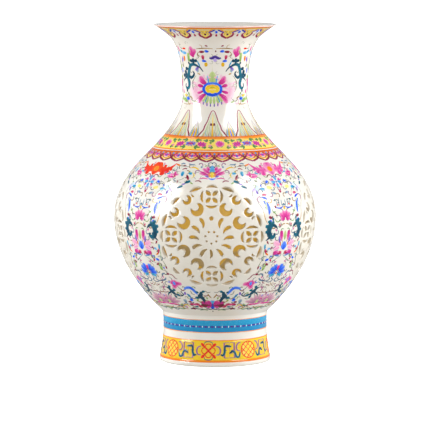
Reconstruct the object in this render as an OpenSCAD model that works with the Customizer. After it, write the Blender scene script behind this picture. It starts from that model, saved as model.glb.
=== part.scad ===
// Double-walled porcelain bottle vase with four pierced medallions.
// A thrown neck, two belly shells and a foot form the outer vase. Four carved
// openwork discs fill round windows in its belly, and a plain inner vase, the
// liner, stands on the foot's floor behind them and holds the water.
// Millimetres, +Z up, origin at the centre of the foot's standing ring.
// The front medallion faces -Y.

/* [Foot] */
// Diameter of the standing edge
foot_d = 116; // [106:1:126]
// Diameter of the waist above the foot
waist_d = 108; // [100:1:114]
// Height from the table to the seam with the belly
foot_h = 53; // [42:1:64]
// Thickness of the floor that carries the liner
floor_t = 7; // [5:0.5:9]
// Thickness of the foot ring at the table
ring_t = 7; // [5:0.5:9]

/* [Belly] */
// Largest diameter of the vase
belly_d = 210; // [190:1:250]
// Height from the foot's seam to the widest line
lower_h = 97; // [84:1:116]
// Height from the widest line to the neck's seam
upper_h = 77.5; // [68:0.5:93]
// Thickness of the outer wall
wall = 4.5; // [3.5:0.1:5.5]

/* [Neck] */
// Outer diameter at the neck's seam
shoulder_d = 120; // [112:1:128]
// Narrowest outer diameter
neck_d = 67.6; // [60:0.2:78]
// Diameter over the lip
mouth_d = 127; // [110:1:150]
// Height from the neck's seam to the lip
neck_h = 122.5; // [106:0.5:147]
// Height of the narrowest line above the neck's seam
throat_h = 48.5; // [42:0.5:56]
// Thickness of the neck wall
neck_wall = 4.2; // [3.4:0.1:5]
// Roundness of the lip
lip_t = 3.2; // [2.4:0.1:4.2]

/* [Medallions] */
// Number of pierced medallions round the belly
medallion_count = 4; // [2:1:4]
// Diameter of the round window that each one fills
medallion_d = 114; // [94:1:116]
// Height of the medallion's centre below the widest line
medallion_drop = 11; // [6:1:16]
// Plain rim between the window's edge and the openwork
openwork_rim = 3; // [2:0.5:8]

/* [Liner] */
// Space between the outer wall and the liner at the widest line
liner_gap = 9; // [7:0.5:12]
// Thickness of the liner's wall
liner_wall = 3.5; // [3:0.1:4.5]
// Space between the liner's base and the outer wall at the foot's seam
base_gap = 5.3; // [4:0.1:12]
// Width of the neck's seat round the liner's collar
seat_w = 6.3; // [4:0.1:9]
// Height that the collar reaches above the neck's seam
collar_rise = 6.5; // [5:0.5:8]

/* [Hidden] */
glaze = "ivory";
biscuit = "antiquewhite";
ochre = "goldenrod";
curve_steps = 12;          // straight facets along each stretch of a profile
round_fn = 96;             // sides drawn for a full turn

widest_z = foot_h + lower_h;
seam_z = widest_z + upper_h;
total_h = seam_z + neck_h;
throat_z = seam_z + throat_h;
medallion_z = widest_z - medallion_drop;
collar_z = seam_z + collar_rise;
belly_r = belly_d / 2;
shoulder_r = shoulder_d / 2;
foot_edge = 3;             // height of the rounded standing edge
standing_r = foot_d / 2 - 3;   // outer radius of the flat standing face
joint_r = waist_d / 2 + 1.5;   // outer radius at the foot's seam

// Directions of the profile where two stretches meet, as [outwards, upwards].
up = [0, 1];
foot_slope = [0.70, 0.71];
shoulder_slope = [-0.68, 0.73];
lip_slope = [0.84, 0.54];

// Width of the outer wall on a level cut, where it slopes at its two seams.
seam_w = wall / shoulder_slope[1];

seat_r = shoulder_r - seam_w - seat_w;         // the liner's collar, and the seat that it fills
liner_base_r = joint_r - seam_w - base_gap;
openwork_r = medallion_d / 2 - openwork_rim;
drawn_r = 54;              // reach at which the openings' own sizes hold, they grow with it

function bezier(p0, p1, p2, p3, steps = curve_steps) =
    [for (i = [0 : steps]) let (t = i / steps, s = 1 - t)
        s * s * s * p0 + 3 * s * s * t * p1 + 3 * s * t * t * p2 + t * t * t * p3];

// A curve that leaves p along the direction u and arrives at q along v.
function stretch(p, u, reach_p, q, v, reach_q) =
    bezier(p, p + reach_p * u, q - reach_q * v, q);

function backwards(points) = [for (i = [len(points) - 1 : -1 : 0]) points[i]];

// The same curve without its first point, so that two stretches share their joint.
function rest_of(points) = [for (i = [1 : len(points) - 1]) points[i]];

// Belly curve below the widest line. inset moves it inwards for an inner face.
function lower_curve(inset, foot_inset) =
    stretch([joint_r - foot_inset, foot_h], foot_slope, 0.19 * lower_h,
            [belly_r - inset, widest_z], up, 0.495 * lower_h);

// Belly curve above the widest line, up to the neck's seam.
function upper_curve(inset, seam_inset) =
    stretch([belly_r - inset, widest_z], up, 0.465 * upper_h,
            [shoulder_r - seam_inset, seam_z], shoulder_slope, 0.36 * upper_h);

// Neck curve from the seam to the throat and on to the lip.
function neck_curve(inset, seam_inset, top_inset, start_z) =
    concat(stretch([shoulder_r - seam_inset, start_z], shoulder_slope, 0.29 * throat_h,
                   [neck_d / 2 - inset, throat_z], up, 0.41 * throat_h),
           rest_of(stretch([neck_d / 2 - inset, throat_z], up, 0.757 * (neck_h - throat_h),
                   [mouth_d / 2 - top_inset, total_h - lip_t / 2], lip_slope, 20)));

module turn(outline) {
    rotate_extrude($fn = round_fn) polygon(outline);
}

// ---- outer vase -----------------------------------------------------------

module neck() {
    step_r = seat_r - liner_wall;
    outer = neck_curve(0, 0, lip_t / 2, seam_z);
    inner = concat(
        stretch([step_r, collar_z], shoulder_slope, 0.29 * throat_h,
                [neck_d / 2 - neck_wall, throat_z], up, 0.41 * throat_h),
        rest_of(stretch([neck_d / 2 - neck_wall, throat_z], up, 0.80 * (neck_h - throat_h),
                [mouth_d / 2 - 1.7 * lip_t, total_h], lip_slope, 20)));
    lip = [[mouth_d / 2, total_h - 0.35 * lip_t], [mouth_d / 2 - 0.45 * lip_t, total_h]];
    color(glaze)
        turn(concat(outer, lip, backwards(inner),
                    [[seat_r, collar_z], [shoulder_r - seam_w, seam_z]]));
}

module upper_belly() {
    color(glaze) windowed()
        turn(concat(upper_curve(0, 0), backwards(upper_curve(wall, seam_w))));
}

module lower_belly() {
    color(glaze) windowed()
        turn(concat(lower_curve(0, 0), backwards(lower_curve(wall, seam_w))));
}

module foot() {
    recess_z = foot_h - floor_t;
    outer = concat([[standing_r, 0], [foot_d / 2 - 0.9, 0.7], [foot_d / 2, foot_edge]],
        rest_of(bezier([foot_d / 2, foot_edge], [foot_d / 2 - 2.5, 0.26 * foot_h],
                       [waist_d / 2, 0.49 * foot_h], [waist_d / 2, 0.755 * foot_h])),
        rest_of(bezier([waist_d / 2, 0.755 * foot_h], [waist_d / 2, 0.925 * foot_h],
                       [waist_d / 2, 0.925 * foot_h], [joint_r, foot_h])));
    recess_r = waist_d / 2 - 6;
    color(glaze)
        turn(concat(outer, [[0, foot_h], [0, recess_z], [recess_r - 4, recess_z],
                            [recess_r, recess_z - 4], [foot_d / 2 - ring_t, 0]]));
}

// ---- inner vase -----------------------------------------------------------

module inner_liner() {
    liner_r = belly_r - wall - liner_gap;
    neck_z = seam_z - 6;           // foot of the liner's straight collar
    outer = concat(
        stretch([liner_base_r, foot_h], foot_slope, 0.24 * lower_h, [liner_r, widest_z], up, 0.5 * lower_h),
        rest_of(stretch([liner_r, widest_z], up, 0.46 * upper_h,
                        [seat_r, neck_z], [-0.75, 0.66], 0.30 * upper_h)));
    inner = concat(
        stretch([liner_base_r - liner_wall * 1.2, foot_h + 1.4 * liner_wall], foot_slope, 0.22 * lower_h,
                [liner_r - liner_wall, widest_z], up, 0.49 * lower_h),
        rest_of(stretch([liner_r - liner_wall, widest_z], up, 0.44 * upper_h,
                        [seat_r - liner_wall, neck_z - 1.5], [-0.75, 0.66], 0.28 * upper_h)));
    color(ochre)
        turn(concat([[0, foot_h]], outer, [[seat_r, collar_z], [seat_r - liner_wall, collar_z]],
                    backwards(inner), [[0, foot_h + 1.4 * liner_wall]]));
}

// ---- pierced medallions ---------------------------------------------------

// The round plug that cuts one window, facing -Y.
module window_plug() {
    translate([0, -belly_r / 2, medallion_z]) rotate([90, 0, 0])
        cylinder(d = medallion_d, h = belly_r, $fn = round_fn);
}

module windowed() {
    difference() {
        children();
        for (i = [0 : medallion_count - 1]) rotate([0, 0, i * 360 / medallion_count]) window_plug();
    }
}

// Outline of one opening: an arc of radius bend about [0, 0] from angle a0 through
// sweep, whose width runs through w0, w1 and w2 at its start, middle and end.
function opening(bend, a0, sweep, w0, w1, w2, n = 4) =
    let (width = function (u) (w0 * (1 - u) * (1 - 2 * u) + 4 * w1 * u * (1 - u) + w2 * u * (2 * u - 1)) / 2,
         side = sweep > 0 ? 1 : -1,
         along = function (a) side * [-sin(a), cos(a)],
         ray = function (a) [cos(a), sin(a)])
    concat([bend * ray(a0) - along(a0) * w0 / 2],
           [for (i = [0 : n]) let (u = i / n) (bend - side * width(u)) * ray(a0 + sweep * u)],
           [bend * ray(a0 + sweep) + along(a0 + sweep) * w2 / 2],
           [for (i = [n : -1 : 0]) let (u = i / n) (bend + side * width(u)) * ray(a0 + sweep * u)]);

// Radius and slope angle of the outer wall at a height, read from its curves.
belly_outline = concat(lower_curve(0, 0), rest_of(upper_curve(0, 0)));
function wall_at(z) = [for (i = [0 : len(belly_outline) - 2])
    let (a = belly_outline[i], b = belly_outline[i + 1])
    if (a[1] <= z && z < b[1])
        [a[0] + (b[0] - a[0]) * (z - a[1]) / (b[1] - a[1]), atan2(b[0] - a[0], b[1] - a[1])]][0];

// Cuts one opening square to the wall, with its middle at [x, y] on the medallion's face.
module pierce(x, y, turn_by) {
    here = wall_at(medallion_z + y);
    rotate([0, 0, asin(x / here[0])])
        translate([0, -here[0], medallion_z + y])
            rotate([90 + here[1], 0, 0]) rotate([0, 0, turn_by])
                linear_extrude(height = 4 * wall, center = true) scale(openwork_r / drawn_r) children();
}

// One opening in every quarter, with its mirror image across the quarter's diagonal.
module in_eights(r, a, turn_by) {
    for (q = [0 : 90 : 270]) {
        pierce(r * cos(q + a), r * sin(q + a), q + turn_by) children();
        pierce(r * cos(q + 90 - a), r * sin(q + 90 - a), q + 90 - turn_by) mirror([0, 1]) children();
    }
}

// Twelve commas round seven pips. The top comma is a round eye, the bottom one a slot.
module rosette() {
    ring = 0.31 * openwork_r;
    pierce(0, 0.36 * openwork_r, 0) circle(d = 4.4, $fn = 24);
    pierce(0, -0.32 * openwork_r, 0) translate([-10, 0]) polygon(opening(10, -26, 52, 1, 2.8, 1.6));
    for (side = [-1, 1]) for (k = [1 : 5])
        pierce(-side * ring * sin(30 * k), ring * cos(30 * k), side * (30 * k - 14))
            mirror([side < 0 ? 1 : 0, 0]) translate([-8, 0]) polygon(opening(8, -34, 68, 0.8, 3.4, 3.6));
    for (k = [0 : 6]) {
        a = 360 / 7 * k - 90;
        pierce(0.115 * openwork_r * cos(a), 0.115 * openwork_r * sin(a), 0) circle(d = 2.2, $fn = 16);
    }
}

// A lattice roundel: four leaves in a cross within four arcs.
module roundel(at_angle) {
    x = 0.76 * openwork_r * cos(at_angle);
    y = 0.76 * openwork_r * sin(at_angle);
    rim = 0.19 * openwork_r;
    for (k = [0 : 3]) {
        a = 45 + 90 * k;
        pierce(x + 0.09 * openwork_r * cos(a), y + 0.09 * openwork_r * sin(a), a + 90)
            translate([-14, 0]) polygon(opening(14, -13, 26, 0.8, 3.6, 0.8));
        pierce(x + rim * cos(90 * k), y + rim * sin(90 * k), 90 * k)
            translate([-0.19 * drawn_r, 0]) polygon(opening(0.19 * drawn_r, -32, 64, 0.8, 2.4, 0.8));
    }
}

module openwork() {
    rosette();
    for (a = [0 : 90 : 270]) roundel(a);
    in_eights(0.615 * openwork_r, 28, 200) polygon(opening(5, -105, 245, 0.8, 5.6, 1.4, 6));      // large clouds
    in_eights(0.85 * openwork_r, 34, 215) polygon(opening(3.5, -120, 250, 0.8, 3.4, 1.6, 5));     // small clouds
    in_eights(0.945 * openwork_r, 19, 19) translate([-20, 0]) polygon(opening(20, -19, 38, 0.8, 3.8, 0.8));
    in_eights(0.865 * openwork_r, 23, 100) polygon(opening(2, -20, 120, 0.8, 1.8, 0.8));          // their teeth
    for (q = [45 : 90 : 315])
        pierce(0.96 * openwork_r * cos(q), 0.96 * openwork_r * sin(q), q)
            translate([-8, 0]) polygon(opening(8, -34, 68, 1, 3.4, 1));
}

module medallion(i) {
    color(biscuit) rotate([0, 0, i * 90]) difference() {
        intersection() {
            turn(concat(lower_curve(0, 0), rest_of(upper_curve(0, 0)),
                        backwards(upper_curve(wall, seam_w)),
                        rest_of(backwards(lower_curve(wall, seam_w)))));
            window_plug();
        }
        openwork();
    }
}

neck();
upper_belly();
lower_belly();
foot();
inner_liner();
medallion(0);  // medallion_front
medallion(1);  // medallion_right
medallion(2);  // medallion_back
medallion(3);  // medallion_left
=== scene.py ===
# %% [markdown]
# # A double-walled porcelain vase with painted enamels
# The real vase is two vases in one. The outer wall is thrown and painted, and
# four round panels of it are carved through, so that the plain golden vase
# inside shows behind the openwork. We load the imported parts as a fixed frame
# and build the fine surface on top of them, in metres.

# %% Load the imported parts
from bisect import bisect_right
from math import asin, cos, degrees, hypot, pi, radians, sin

import bmesh
import bpy
from mathutils import Matrix, Vector


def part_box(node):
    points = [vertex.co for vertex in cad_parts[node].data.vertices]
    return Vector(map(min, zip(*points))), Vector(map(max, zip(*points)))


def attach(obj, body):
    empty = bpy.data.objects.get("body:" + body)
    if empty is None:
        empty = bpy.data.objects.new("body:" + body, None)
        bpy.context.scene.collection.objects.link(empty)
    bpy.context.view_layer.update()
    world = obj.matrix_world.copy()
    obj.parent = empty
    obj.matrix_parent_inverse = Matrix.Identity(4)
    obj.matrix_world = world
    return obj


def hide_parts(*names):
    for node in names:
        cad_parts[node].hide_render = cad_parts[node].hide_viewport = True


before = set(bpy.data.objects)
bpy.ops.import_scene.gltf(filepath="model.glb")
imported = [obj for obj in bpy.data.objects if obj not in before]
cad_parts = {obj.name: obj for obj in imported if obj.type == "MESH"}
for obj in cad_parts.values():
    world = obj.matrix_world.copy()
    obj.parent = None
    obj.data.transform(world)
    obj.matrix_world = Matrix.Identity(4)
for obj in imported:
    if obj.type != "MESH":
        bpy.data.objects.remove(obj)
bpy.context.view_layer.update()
print("parts:", sorted(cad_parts))

# %% [markdown]
# ## The vase's outline
# Every painted line has to lie on the wall, so the outline comes first. A
# thrown vase is one smooth curve from foot to lip. We draw it as the same six
# curved stretches as the solid parts, in millimetres, and take the heights of
# the joints from the parts themselves.

# %% Heights and radii in millimetres
MM = 1000                            # millimetres in Blender's metre
FOOT_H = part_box("foot")[1].z * MM
WIDEST_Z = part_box("lower_belly")[1].z * MM
SEAM_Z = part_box("neck")[0].z * MM
LIP_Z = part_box("neck")[1].z * MM
BELLY_R, WAIST_R, FOOT_R = 105.0, 54.0, 58.0
SHOULDER_R, THROAT_R, MOUTH_R = 60.0, 33.8, 63.5
WALL = 4.5
MEDALLION_Z = WIDEST_Z - 11
MEDALLION_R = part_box("medallion_front")[1].x * MM
OPENWORK_R = 54.0
THROAT_Z = SEAM_Z + 48.5
print("joints at", round(FOOT_H, 1), round(WIDEST_Z, 1), round(SEAM_Z, 1), round(LIP_Z, 1))


# %% One curved stretch, as (radius, height) points
def stretch(p0, p1, p2, p3, steps=40):
    """A smooth curve from p0 to p3 that heads for p1 and arrives from p2."""
    points = []
    for i in range(steps + 1):
        t = i / steps
        w = ((1 - t) ** 3, 3 * (1 - t) ** 2 * t, 3 * (1 - t) * t * t, t ** 3)
        points.append(tuple(sum(k * p[j] for k, p in zip(w, (p0, p1, p2, p3))) for j in (0, 1)))
    return points


def aimed(p, u, reach_p, q, v, reach_q, steps=40):
    """A stretch that leaves p along u and arrives at q along v."""
    return stretch(p, (p[0] + u[0] * reach_p, p[1] + u[1] * reach_p),
                   (q[0] - v[0] * reach_q, q[1] - v[1] * reach_q), q, steps)


# directions of the outline, as (outwards, upwards)
UP, FOOT_SLOPE, SHOULDER_SLOPE, LIP_SLOPE = (0, 1), (0.70, 0.71), (-0.68, 0.73), (0.84, 0.54)
print("a stretch has", len(stretch((0, 0), UP, UP, (1, 1))), "points")

# %% The six stretches of the outer wall
joint_r = WAIST_R + 1.5
lower_h, upper_h, neck_h = WIDEST_Z - FOOT_H, SEAM_Z - WIDEST_Z, LIP_Z - SEAM_Z
throat_h = THROAT_Z - SEAM_Z
foot_line = (stretch((FOOT_R, 3), (FOOT_R - 2.5, 0.26 * FOOT_H),
                     (WAIST_R, 0.49 * FOOT_H), (WAIST_R, 0.755 * FOOT_H))
             + stretch((WAIST_R, 0.755 * FOOT_H), (WAIST_R, 0.925 * FOOT_H),
                       (WAIST_R, 0.925 * FOOT_H), (joint_r, FOOT_H))[1:])
belly_line = (aimed((joint_r, FOOT_H), FOOT_SLOPE, 0.19 * lower_h,
                    (BELLY_R, WIDEST_Z), UP, 0.495 * lower_h)
              + aimed((BELLY_R, WIDEST_Z), UP, 0.465 * upper_h,
                      (SHOULDER_R, SEAM_Z), SHOULDER_SLOPE, 0.36 * upper_h)[1:])
neck_line = (aimed((SHOULDER_R, SEAM_Z), SHOULDER_SLOPE, 0.29 * throat_h,
                   (THROAT_R, THROAT_Z), UP, 0.41 * throat_h)
             + aimed((THROAT_R, THROAT_Z), UP, 0.757 * (neck_h - throat_h),
                     (MOUTH_R - 1.6, LIP_Z - 1.6), LIP_SLOPE, 20)[1:])
wall_line = foot_line + belly_line[1:] + neck_line[1:]
print(len(wall_line), "points on the outline, widest", round(max(r for r, z in wall_line), 1))


# %% Lengths along the wall
# A motif keeps its size when it is laid by length along the wall, so we add up
# the lengths once and look heights up in them.
wall_length = [0.0]
for (r0, z0), (r1, z1) in zip(wall_line, wall_line[1:]):
    wall_length.append(wall_length[-1] + hypot(r1 - r0, z1 - z0))
wall_height = [z for r, z in wall_line]


def length_at(z):
    """Length along the wall from the foot up to a height."""
    i = min(max(bisect_right(wall_height, z) - 1, 0), len(wall_line) - 2)
    z0, z1 = wall_height[i], wall_height[i + 1]
    return wall_length[i] + (z - z0) / (z1 - z0) * (wall_length[i + 1] - wall_length[i])


def wall_at(length):
    """Radius, height and outward slope of the wall at a length along it."""
    i = min(max(bisect_right(wall_length, length) - 1, 0), len(wall_line) - 2)
    t = (length - wall_length[i]) / (wall_length[i + 1] - wall_length[i])
    (r0, z0), (r1, z1) = wall_line[i], wall_line[i + 1]
    k = 1 / (wall_length[i + 1] - wall_length[i])
    here = ((z1 - z0) * k, -(r1 - r0) * k)
    j = i + 1 if t > 0.5 else i - 1
    if 0 <= j < len(wall_line) - 1:     # blend with the nearer neighbour, so the slope has no steps
        (a0, b0), (a1, b1) = wall_line[j], wall_line[j + 1]
        m = 1 / (wall_length[j + 1] - wall_length[j])
        w = abs(t - 0.5)
        here = (here[0] * (1 - w) + (b1 - b0) * m * w, here[1] * (1 - w) - (a1 - a0) * m * w)
    return r0 + t * (r1 - r0), z0 + t * (z1 - z0), here


def on_wall(turn, length, lift):
    """The point in metres at a turn from the front, a length up the wall and a lift above it."""
    r, z, (nr, nz) = wall_at(length)
    a = radians(turn)
    r += nr * lift
    return Vector((r * sin(a), -r * cos(a), z + nz * lift)) / MM


print("the wall is", round(wall_length[-1]), "mm long from foot to lip")


# %% [markdown]
# ## Finishes
# Porcelain is a white body under a clear feldspar glaze, fired glossy. The
# colours over it are overglaze enamels, lead glass stained with metals and
# fired again at a low heat, so they stand up from the glaze in soft pillows.
# Each finish is named for what it is, and its colours are sRGB hex values.

# %% Helpers for materials
def srgb(code, alpha=1.0):
    """A hex colour as linear RGBA."""
    v = [int(code[i:i + 2], 16) / 255 for i in (0, 2, 4)]
    return tuple(c / 12.92 if c <= 0.04045 else ((c + 0.055) / 1.055) ** 2.4 for c in v) + (alpha,)


def node(material, kind, settings=(), links=()):
    """Adds a node. settings are (name or input, value), links are (input, output socket)."""
    n = material.node_tree.nodes.new(kind)
    for key, value in settings:
        if isinstance(key, str) and hasattr(n, key):
            setattr(n, key, value)
        else:
            n.inputs[key].default_value = value
    for key, source in links:
        material.node_tree.links.new(source, n.inputs[key])
    return n


def finish(name, roughness, specular=0.5, coat=0.0, metallic=0.0):
    """A new material with one shader. Returns the material and the shader."""
    m = bpy.data.materials.new(name)
    m.use_nodes = True
    m.node_tree.nodes.clear()
    shader = node(m, "ShaderNodeBsdfPrincipled", [
        ("Roughness", roughness), ("Specular IOR Level", specular), ("Coat Weight", coat),
        ("Coat Roughness", 0.06), ("Metallic", metallic), ("IOR", 1.5)])
    node(m, "ShaderNodeOutputMaterial", links=[("Surface", shader.outputs["BSDF"])])
    return m, shader


def join(material, source, shader, socket):
    """Links an output to one of the shader's inputs."""
    material.node_tree.links.new(source, shader.inputs[socket])


print("mid grey in linear light:", round(srgb("808080")[0], 3))


# %% Glazed porcelain
# Ivory-white glaze over a hand-thrown wall. The body shows as cloudy warm
# patches about 40 mm across, and the glaze surface has a faint orange peel of
# about 2.5 mm that softens reflections.
def glazed(name, pale, warm, roughness, patch_mm, peel_mm, peel):
    """A white glaze with warm patches and an orange peel, both of a size in millimetres."""
    m, shader = finish(name, roughness, coat=0.35)
    place = node(m, "ShaderNodeTexCoord")
    clouds = node(m, "ShaderNodeTexNoise", [("Scale", MM / patch_mm), ("Detail", 3.0)],
                  [("Vector", place.outputs["Object"])])
    ramp = node(m, "ShaderNodeValToRGB", links=[("Fac", clouds.outputs["Fac"])])
    ramp.color_ramp.elements[0].position, ramp.color_ramp.elements[1].position = 0.35, 0.7
    ramp.color_ramp.elements[0].color, ramp.color_ramp.elements[1].color = srgb(pale), srgb(warm)
    join(m, ramp.outputs["Color"], shader, "Base Color")
    peel_noise = node(m, "ShaderNodeTexNoise", [("Scale", MM / peel_mm), ("Detail", 1.0)],
                      [("Vector", place.outputs["Object"])])
    bump = node(m, "ShaderNodeBump", [("Strength", peel), ("Distance", 0.0002)],
                [("Height", peel_noise.outputs["Fac"])])
    join(m, bump.outputs["Normal"], shader, "Normal")
    return m


porcelain = glazed("glazed_porcelain", "ECE9E2", "E6E0D5", 0.13, 40, 2.5, 0.25)
openwork_glaze = glazed("carved_porcelain", "ECE8DE", "E5DFD2", 0.2, 30, 1.8, 0.3)
print("porcelain finishes:", porcelain.name, openwork_glaze.name)


# %% Ochre liner glaze
# The inner vase is washed with a runny golden glaze in clouds about 22 mm wide.
# The few slate-blue marks are the peaks of a 30 mm noise, each some 14 mm wide.
# A little emission paints a glow on the gold, so that it stays bright in the shade behind the
# openwork.
WASH_MM, MARK_MM = 22, 30
liner_glaze, shader = finish("ochre_liner_glaze", 0.28, coat=0.2)
place = node(liner_glaze, "ShaderNodeTexCoord")
washes = node(liner_glaze, "ShaderNodeTexNoise", [("Scale", MM / WASH_MM), ("Detail", 2.0)],
              [("Vector", place.outputs["Object"])])
gold_ramp = node(liner_glaze, "ShaderNodeValToRGB", links=[("Fac", washes.outputs["Fac"])])
gold_ramp.color_ramp.elements[0].color = srgb("CCA542")
gold_ramp.color_ramp.elements[1].color = srgb("E9CC70")
marks = node(liner_glaze, "ShaderNodeTexNoise",
             [("Scale", MM / MARK_MM), ("Detail", 1.0), ("Distortion", 0.6)],
             [("Vector", place.outputs["Object"])])
edge = node(liner_glaze, "ShaderNodeValToRGB", links=[("Fac", marks.outputs["Fac"])])
edge.color_ramp.elements[0].position, edge.color_ramp.elements[1].position = 0.55, 0.6
mix = node(liner_glaze, "ShaderNodeMix", [("data_type", "RGBA")], [(0, edge.outputs["Color"])])
liner_glaze.node_tree.links.new(gold_ramp.outputs["Color"], mix.inputs[6])
mix.inputs[7].default_value = srgb("8A8C92")
join(liner_glaze, mix.outputs[2], shader, "Base Color")
# painted glow: emission that keeps the gold bright in the shade behind the openwork
shader.inputs["Emission Color"].default_value = srgb("D8AC44")
shader.inputs["Emission Strength"].default_value = 0.3
print("liner finish:", liner_glaze.name)


# %% [markdown]
# ## Turned pieces
# The neck, the foot and the liner are solids of revolution. A potter's tool
# draws their outline while the wheel turns, and the spin operator does the
# same: we lay the closed outline as edges and spin it a full turn.

# %% Spin a closed outline
def turned(name, outline, material, body_nodes, steps=160, sharp=35):
    """A piece turned from a closed outline of (radius, height) points in millimetres."""
    bm = bmesh.new()
    ring = [bm.verts.new((0, -r / MM, z / MM)) for r, z in outline]
    edges = [bm.edges.new(pair) for pair in zip(ring, ring[1:] + ring[:1])
             if pair[0].co.y or pair[1].co.y]
    bmesh.ops.spin(bm, geom=ring + edges, cent=(0, 0, 0), axis=(0, 0, 1), angle=2 * pi,
                   steps=steps, use_merge=True)
    bmesh.ops.remove_doubles(bm, verts=bm.verts, dist=1e-6)
    bmesh.ops.recalc_face_normals(bm, faces=bm.faces)
    return settle(name, bm, [material], body_nodes, sharp)


def settle(name, bm, materials, body_nodes=(), sharp=35):
    """Turns a finished bmesh into a piece of the vase."""
    mesh = bpy.data.meshes.new(name)
    bm.to_mesh(mesh)
    bm.free()
    for m in materials:
        mesh.materials.append(m)
    mesh.shade_smooth()
    mesh.set_sharp_from_angle(angle=radians(sharp))
    piece = bpy.data.objects.new(name, mesh)
    bpy.context.scene.collection.objects.link(piece)
    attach(piece, "root")
    if body_nodes:
        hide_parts(*body_nodes)
    print(name, len(mesh.polygons), "faces")
    return piece


# %% The neck and its rounded lip
collar_r, collar_top, neck_wall, lip_round = 47.5, SEAM_Z + 6.5, 4.2, 1.6
QUARTER = [radians(d) for d in range(0, 91, 15)]         # the steps of a rounded corner
inside_neck = (aimed((collar_r - 3.5, collar_top), SHOULDER_SLOPE, 0.29 * throat_h,
                     (THROAT_R - neck_wall, THROAT_Z), UP, 0.41 * throat_h, 14)
               + aimed((THROAT_R - neck_wall, THROAT_Z), UP, 0.80 * (neck_h - throat_h),
                       (MOUTH_R - 5.4, LIP_Z - 0.3), LIP_SLOPE, 20, 24)[1:])
lip = [(MOUTH_R - 0.2 - 1.55 * (1 - cos(a)), LIP_Z - lip_round + lip_round * sin(a))
       for a in QUARTER]
lip += [(MOUTH_R - 2.9, LIP_Z - 0.02), (MOUTH_R - 4.1, LIP_Z - 0.12)]
turned("neck_wall", neck_line[::2] + lip + inside_neck[::-1]
       + [(collar_r, collar_top), (SHOULDER_R - 6.16, SEAM_Z)],
       porcelain, ["neck"])

# %% The foot, with its hollow and floor
floor_z, floor_round = FOOT_H - 7, 4
foot_edge = [(FOOT_R - 3, 0), (FOOT_R - 1.9, 0.15), (FOOT_R - 0.9, 0.7), (FOOT_R - 0.25, 1.7)]
hollow = [(WAIST_R - 10 + floor_round * sin(a), floor_z - floor_round + floor_round * cos(a))
          for a in QUARTER] + [(FOOT_R - 7.3, 0.8), (FOOT_R - 6.6, 0)]
turned("foot_ring", foot_edge + foot_line[::2] + [(0, FOOT_H), (0, floor_z)] + hollow,
       porcelain, ["foot"])

# %% The golden liner
room_behind_openwork, base_r, liner_wall, base_thick = 9, 44.0, 3.5, 4.9
liner_r = BELLY_R - WALL - room_behind_openwork
liner_out = (aimed((base_r, FOOT_H), FOOT_SLOPE, 0.24 * lower_h,
                   (liner_r, WIDEST_Z), UP, 0.5 * lower_h, 24)
             + aimed((liner_r, WIDEST_Z), UP, 0.46 * upper_h,
                     (collar_r, SEAM_Z - 6), (-0.75, 0.66), 0.30 * upper_h, 20)[1:])
liner_in = (aimed((base_r - 4.2, FOOT_H + base_thick), FOOT_SLOPE, 0.22 * lower_h,
                  (liner_r - liner_wall, WIDEST_Z), UP, 0.49 * lower_h, 24)
            + aimed((liner_r - liner_wall, WIDEST_Z), UP, 0.44 * upper_h,
                    (collar_r - liner_wall, SEAM_Z - 7.5), (-0.75, 0.66), 0.28 * upper_h, 20)[1:])
turned("inner_liner_wall",
       [(0, FOOT_H)] + liner_out + [(collar_r, collar_top), (collar_r - liner_wall, collar_top)]
       + liner_in[::-1] + [(0, FOOT_H + base_thick)],
       liner_glaze, ["inner_liner"], 128)


# %% [markdown]
# ## Carved and cut walls
# The belly has four round windows, and each window holds a carved disc. A
# carver draws the openings on the wall and cuts straight in. We do the same on
# the flat: a flat plate with holes is one filled curve, its small bevel is the
# glaze that has run round each edge, and the plate is then sliced into narrow
# cells and wrapped on the wall.

# %% A flat plate with holes, in millimetres
def plate(outlines, thickness, rounding):
    """A bmesh plate filled between the outlines, with its outer face at 0 and its back below."""
    curve = bpy.data.curves.new("plate", "CURVE")
    curve.dimensions, curve.fill_mode = "2D", "BOTH"
    curve.extrude, curve.bevel_depth, curve.bevel_resolution = thickness / 2 - rounding, rounding, 1
    curve.offset = -rounding
    for points in outlines:
        spline = curve.splines.new("POLY")
        spline.points.add(len(points) - 1)
        for point, (x, y) in zip(spline.points, points):
            point.co = (x, y, 0, 1)
        spline.use_cyclic_u = True
    carrier = bpy.data.objects.new("plate", curve)
    bpy.context.scene.collection.objects.link(carrier)
    view = bpy.context.evaluated_depsgraph_get()
    mesh = bpy.data.meshes.new_from_object(carrier.evaluated_get(view))
    bm = bmesh.new()
    bm.from_mesh(mesh)
    bpy.data.objects.remove(carrier)
    bpy.data.curves.remove(curve)
    bpy.data.meshes.remove(mesh)
    bmesh.ops.translate(bm, vec=(0, 0, -thickness / 2), verts=bm.verts)
    bmesh.ops.remove_doubles(bm, verts=bm.verts, dist=1e-4)
    bmesh.ops.recalc_face_normals(bm, faces=bm.faces)
    return bm


def sliced(bm, step_x, step_y):
    """Cuts a flat plate into cells, so that it can bend."""
    for axis, step in ((0, step_x), (1, step_y)):
        low, high = min(v.co[axis] for v in bm.verts), max(v.co[axis] for v in bm.verts)
        count = int((high - low) / step)
        for i in range(1, count + 1):
            spot, normal = [0, 0, 0], [0, 0, 0]
            spot[axis], normal[axis] = low + (high - low) * i / (count + 1), 1
            bmesh.ops.bisect_plane(bm, geom=bm.verts[:] + bm.edges[:] + bm.faces[:], dist=1e-5,
                                   plane_co=spot, plane_no=normal)
    return bm


def wrapped(bm, per_mm):
    """Bends a plate on the wall: x turns by per_mm degrees a millimetre, y goes up, z lifts."""
    for v in bm.verts:
        v.co = on_wall(v.co.x * per_mm, v.co.y, v.co.z)
    return bm


print("plates can be filled, sliced and wrapped")


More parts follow.
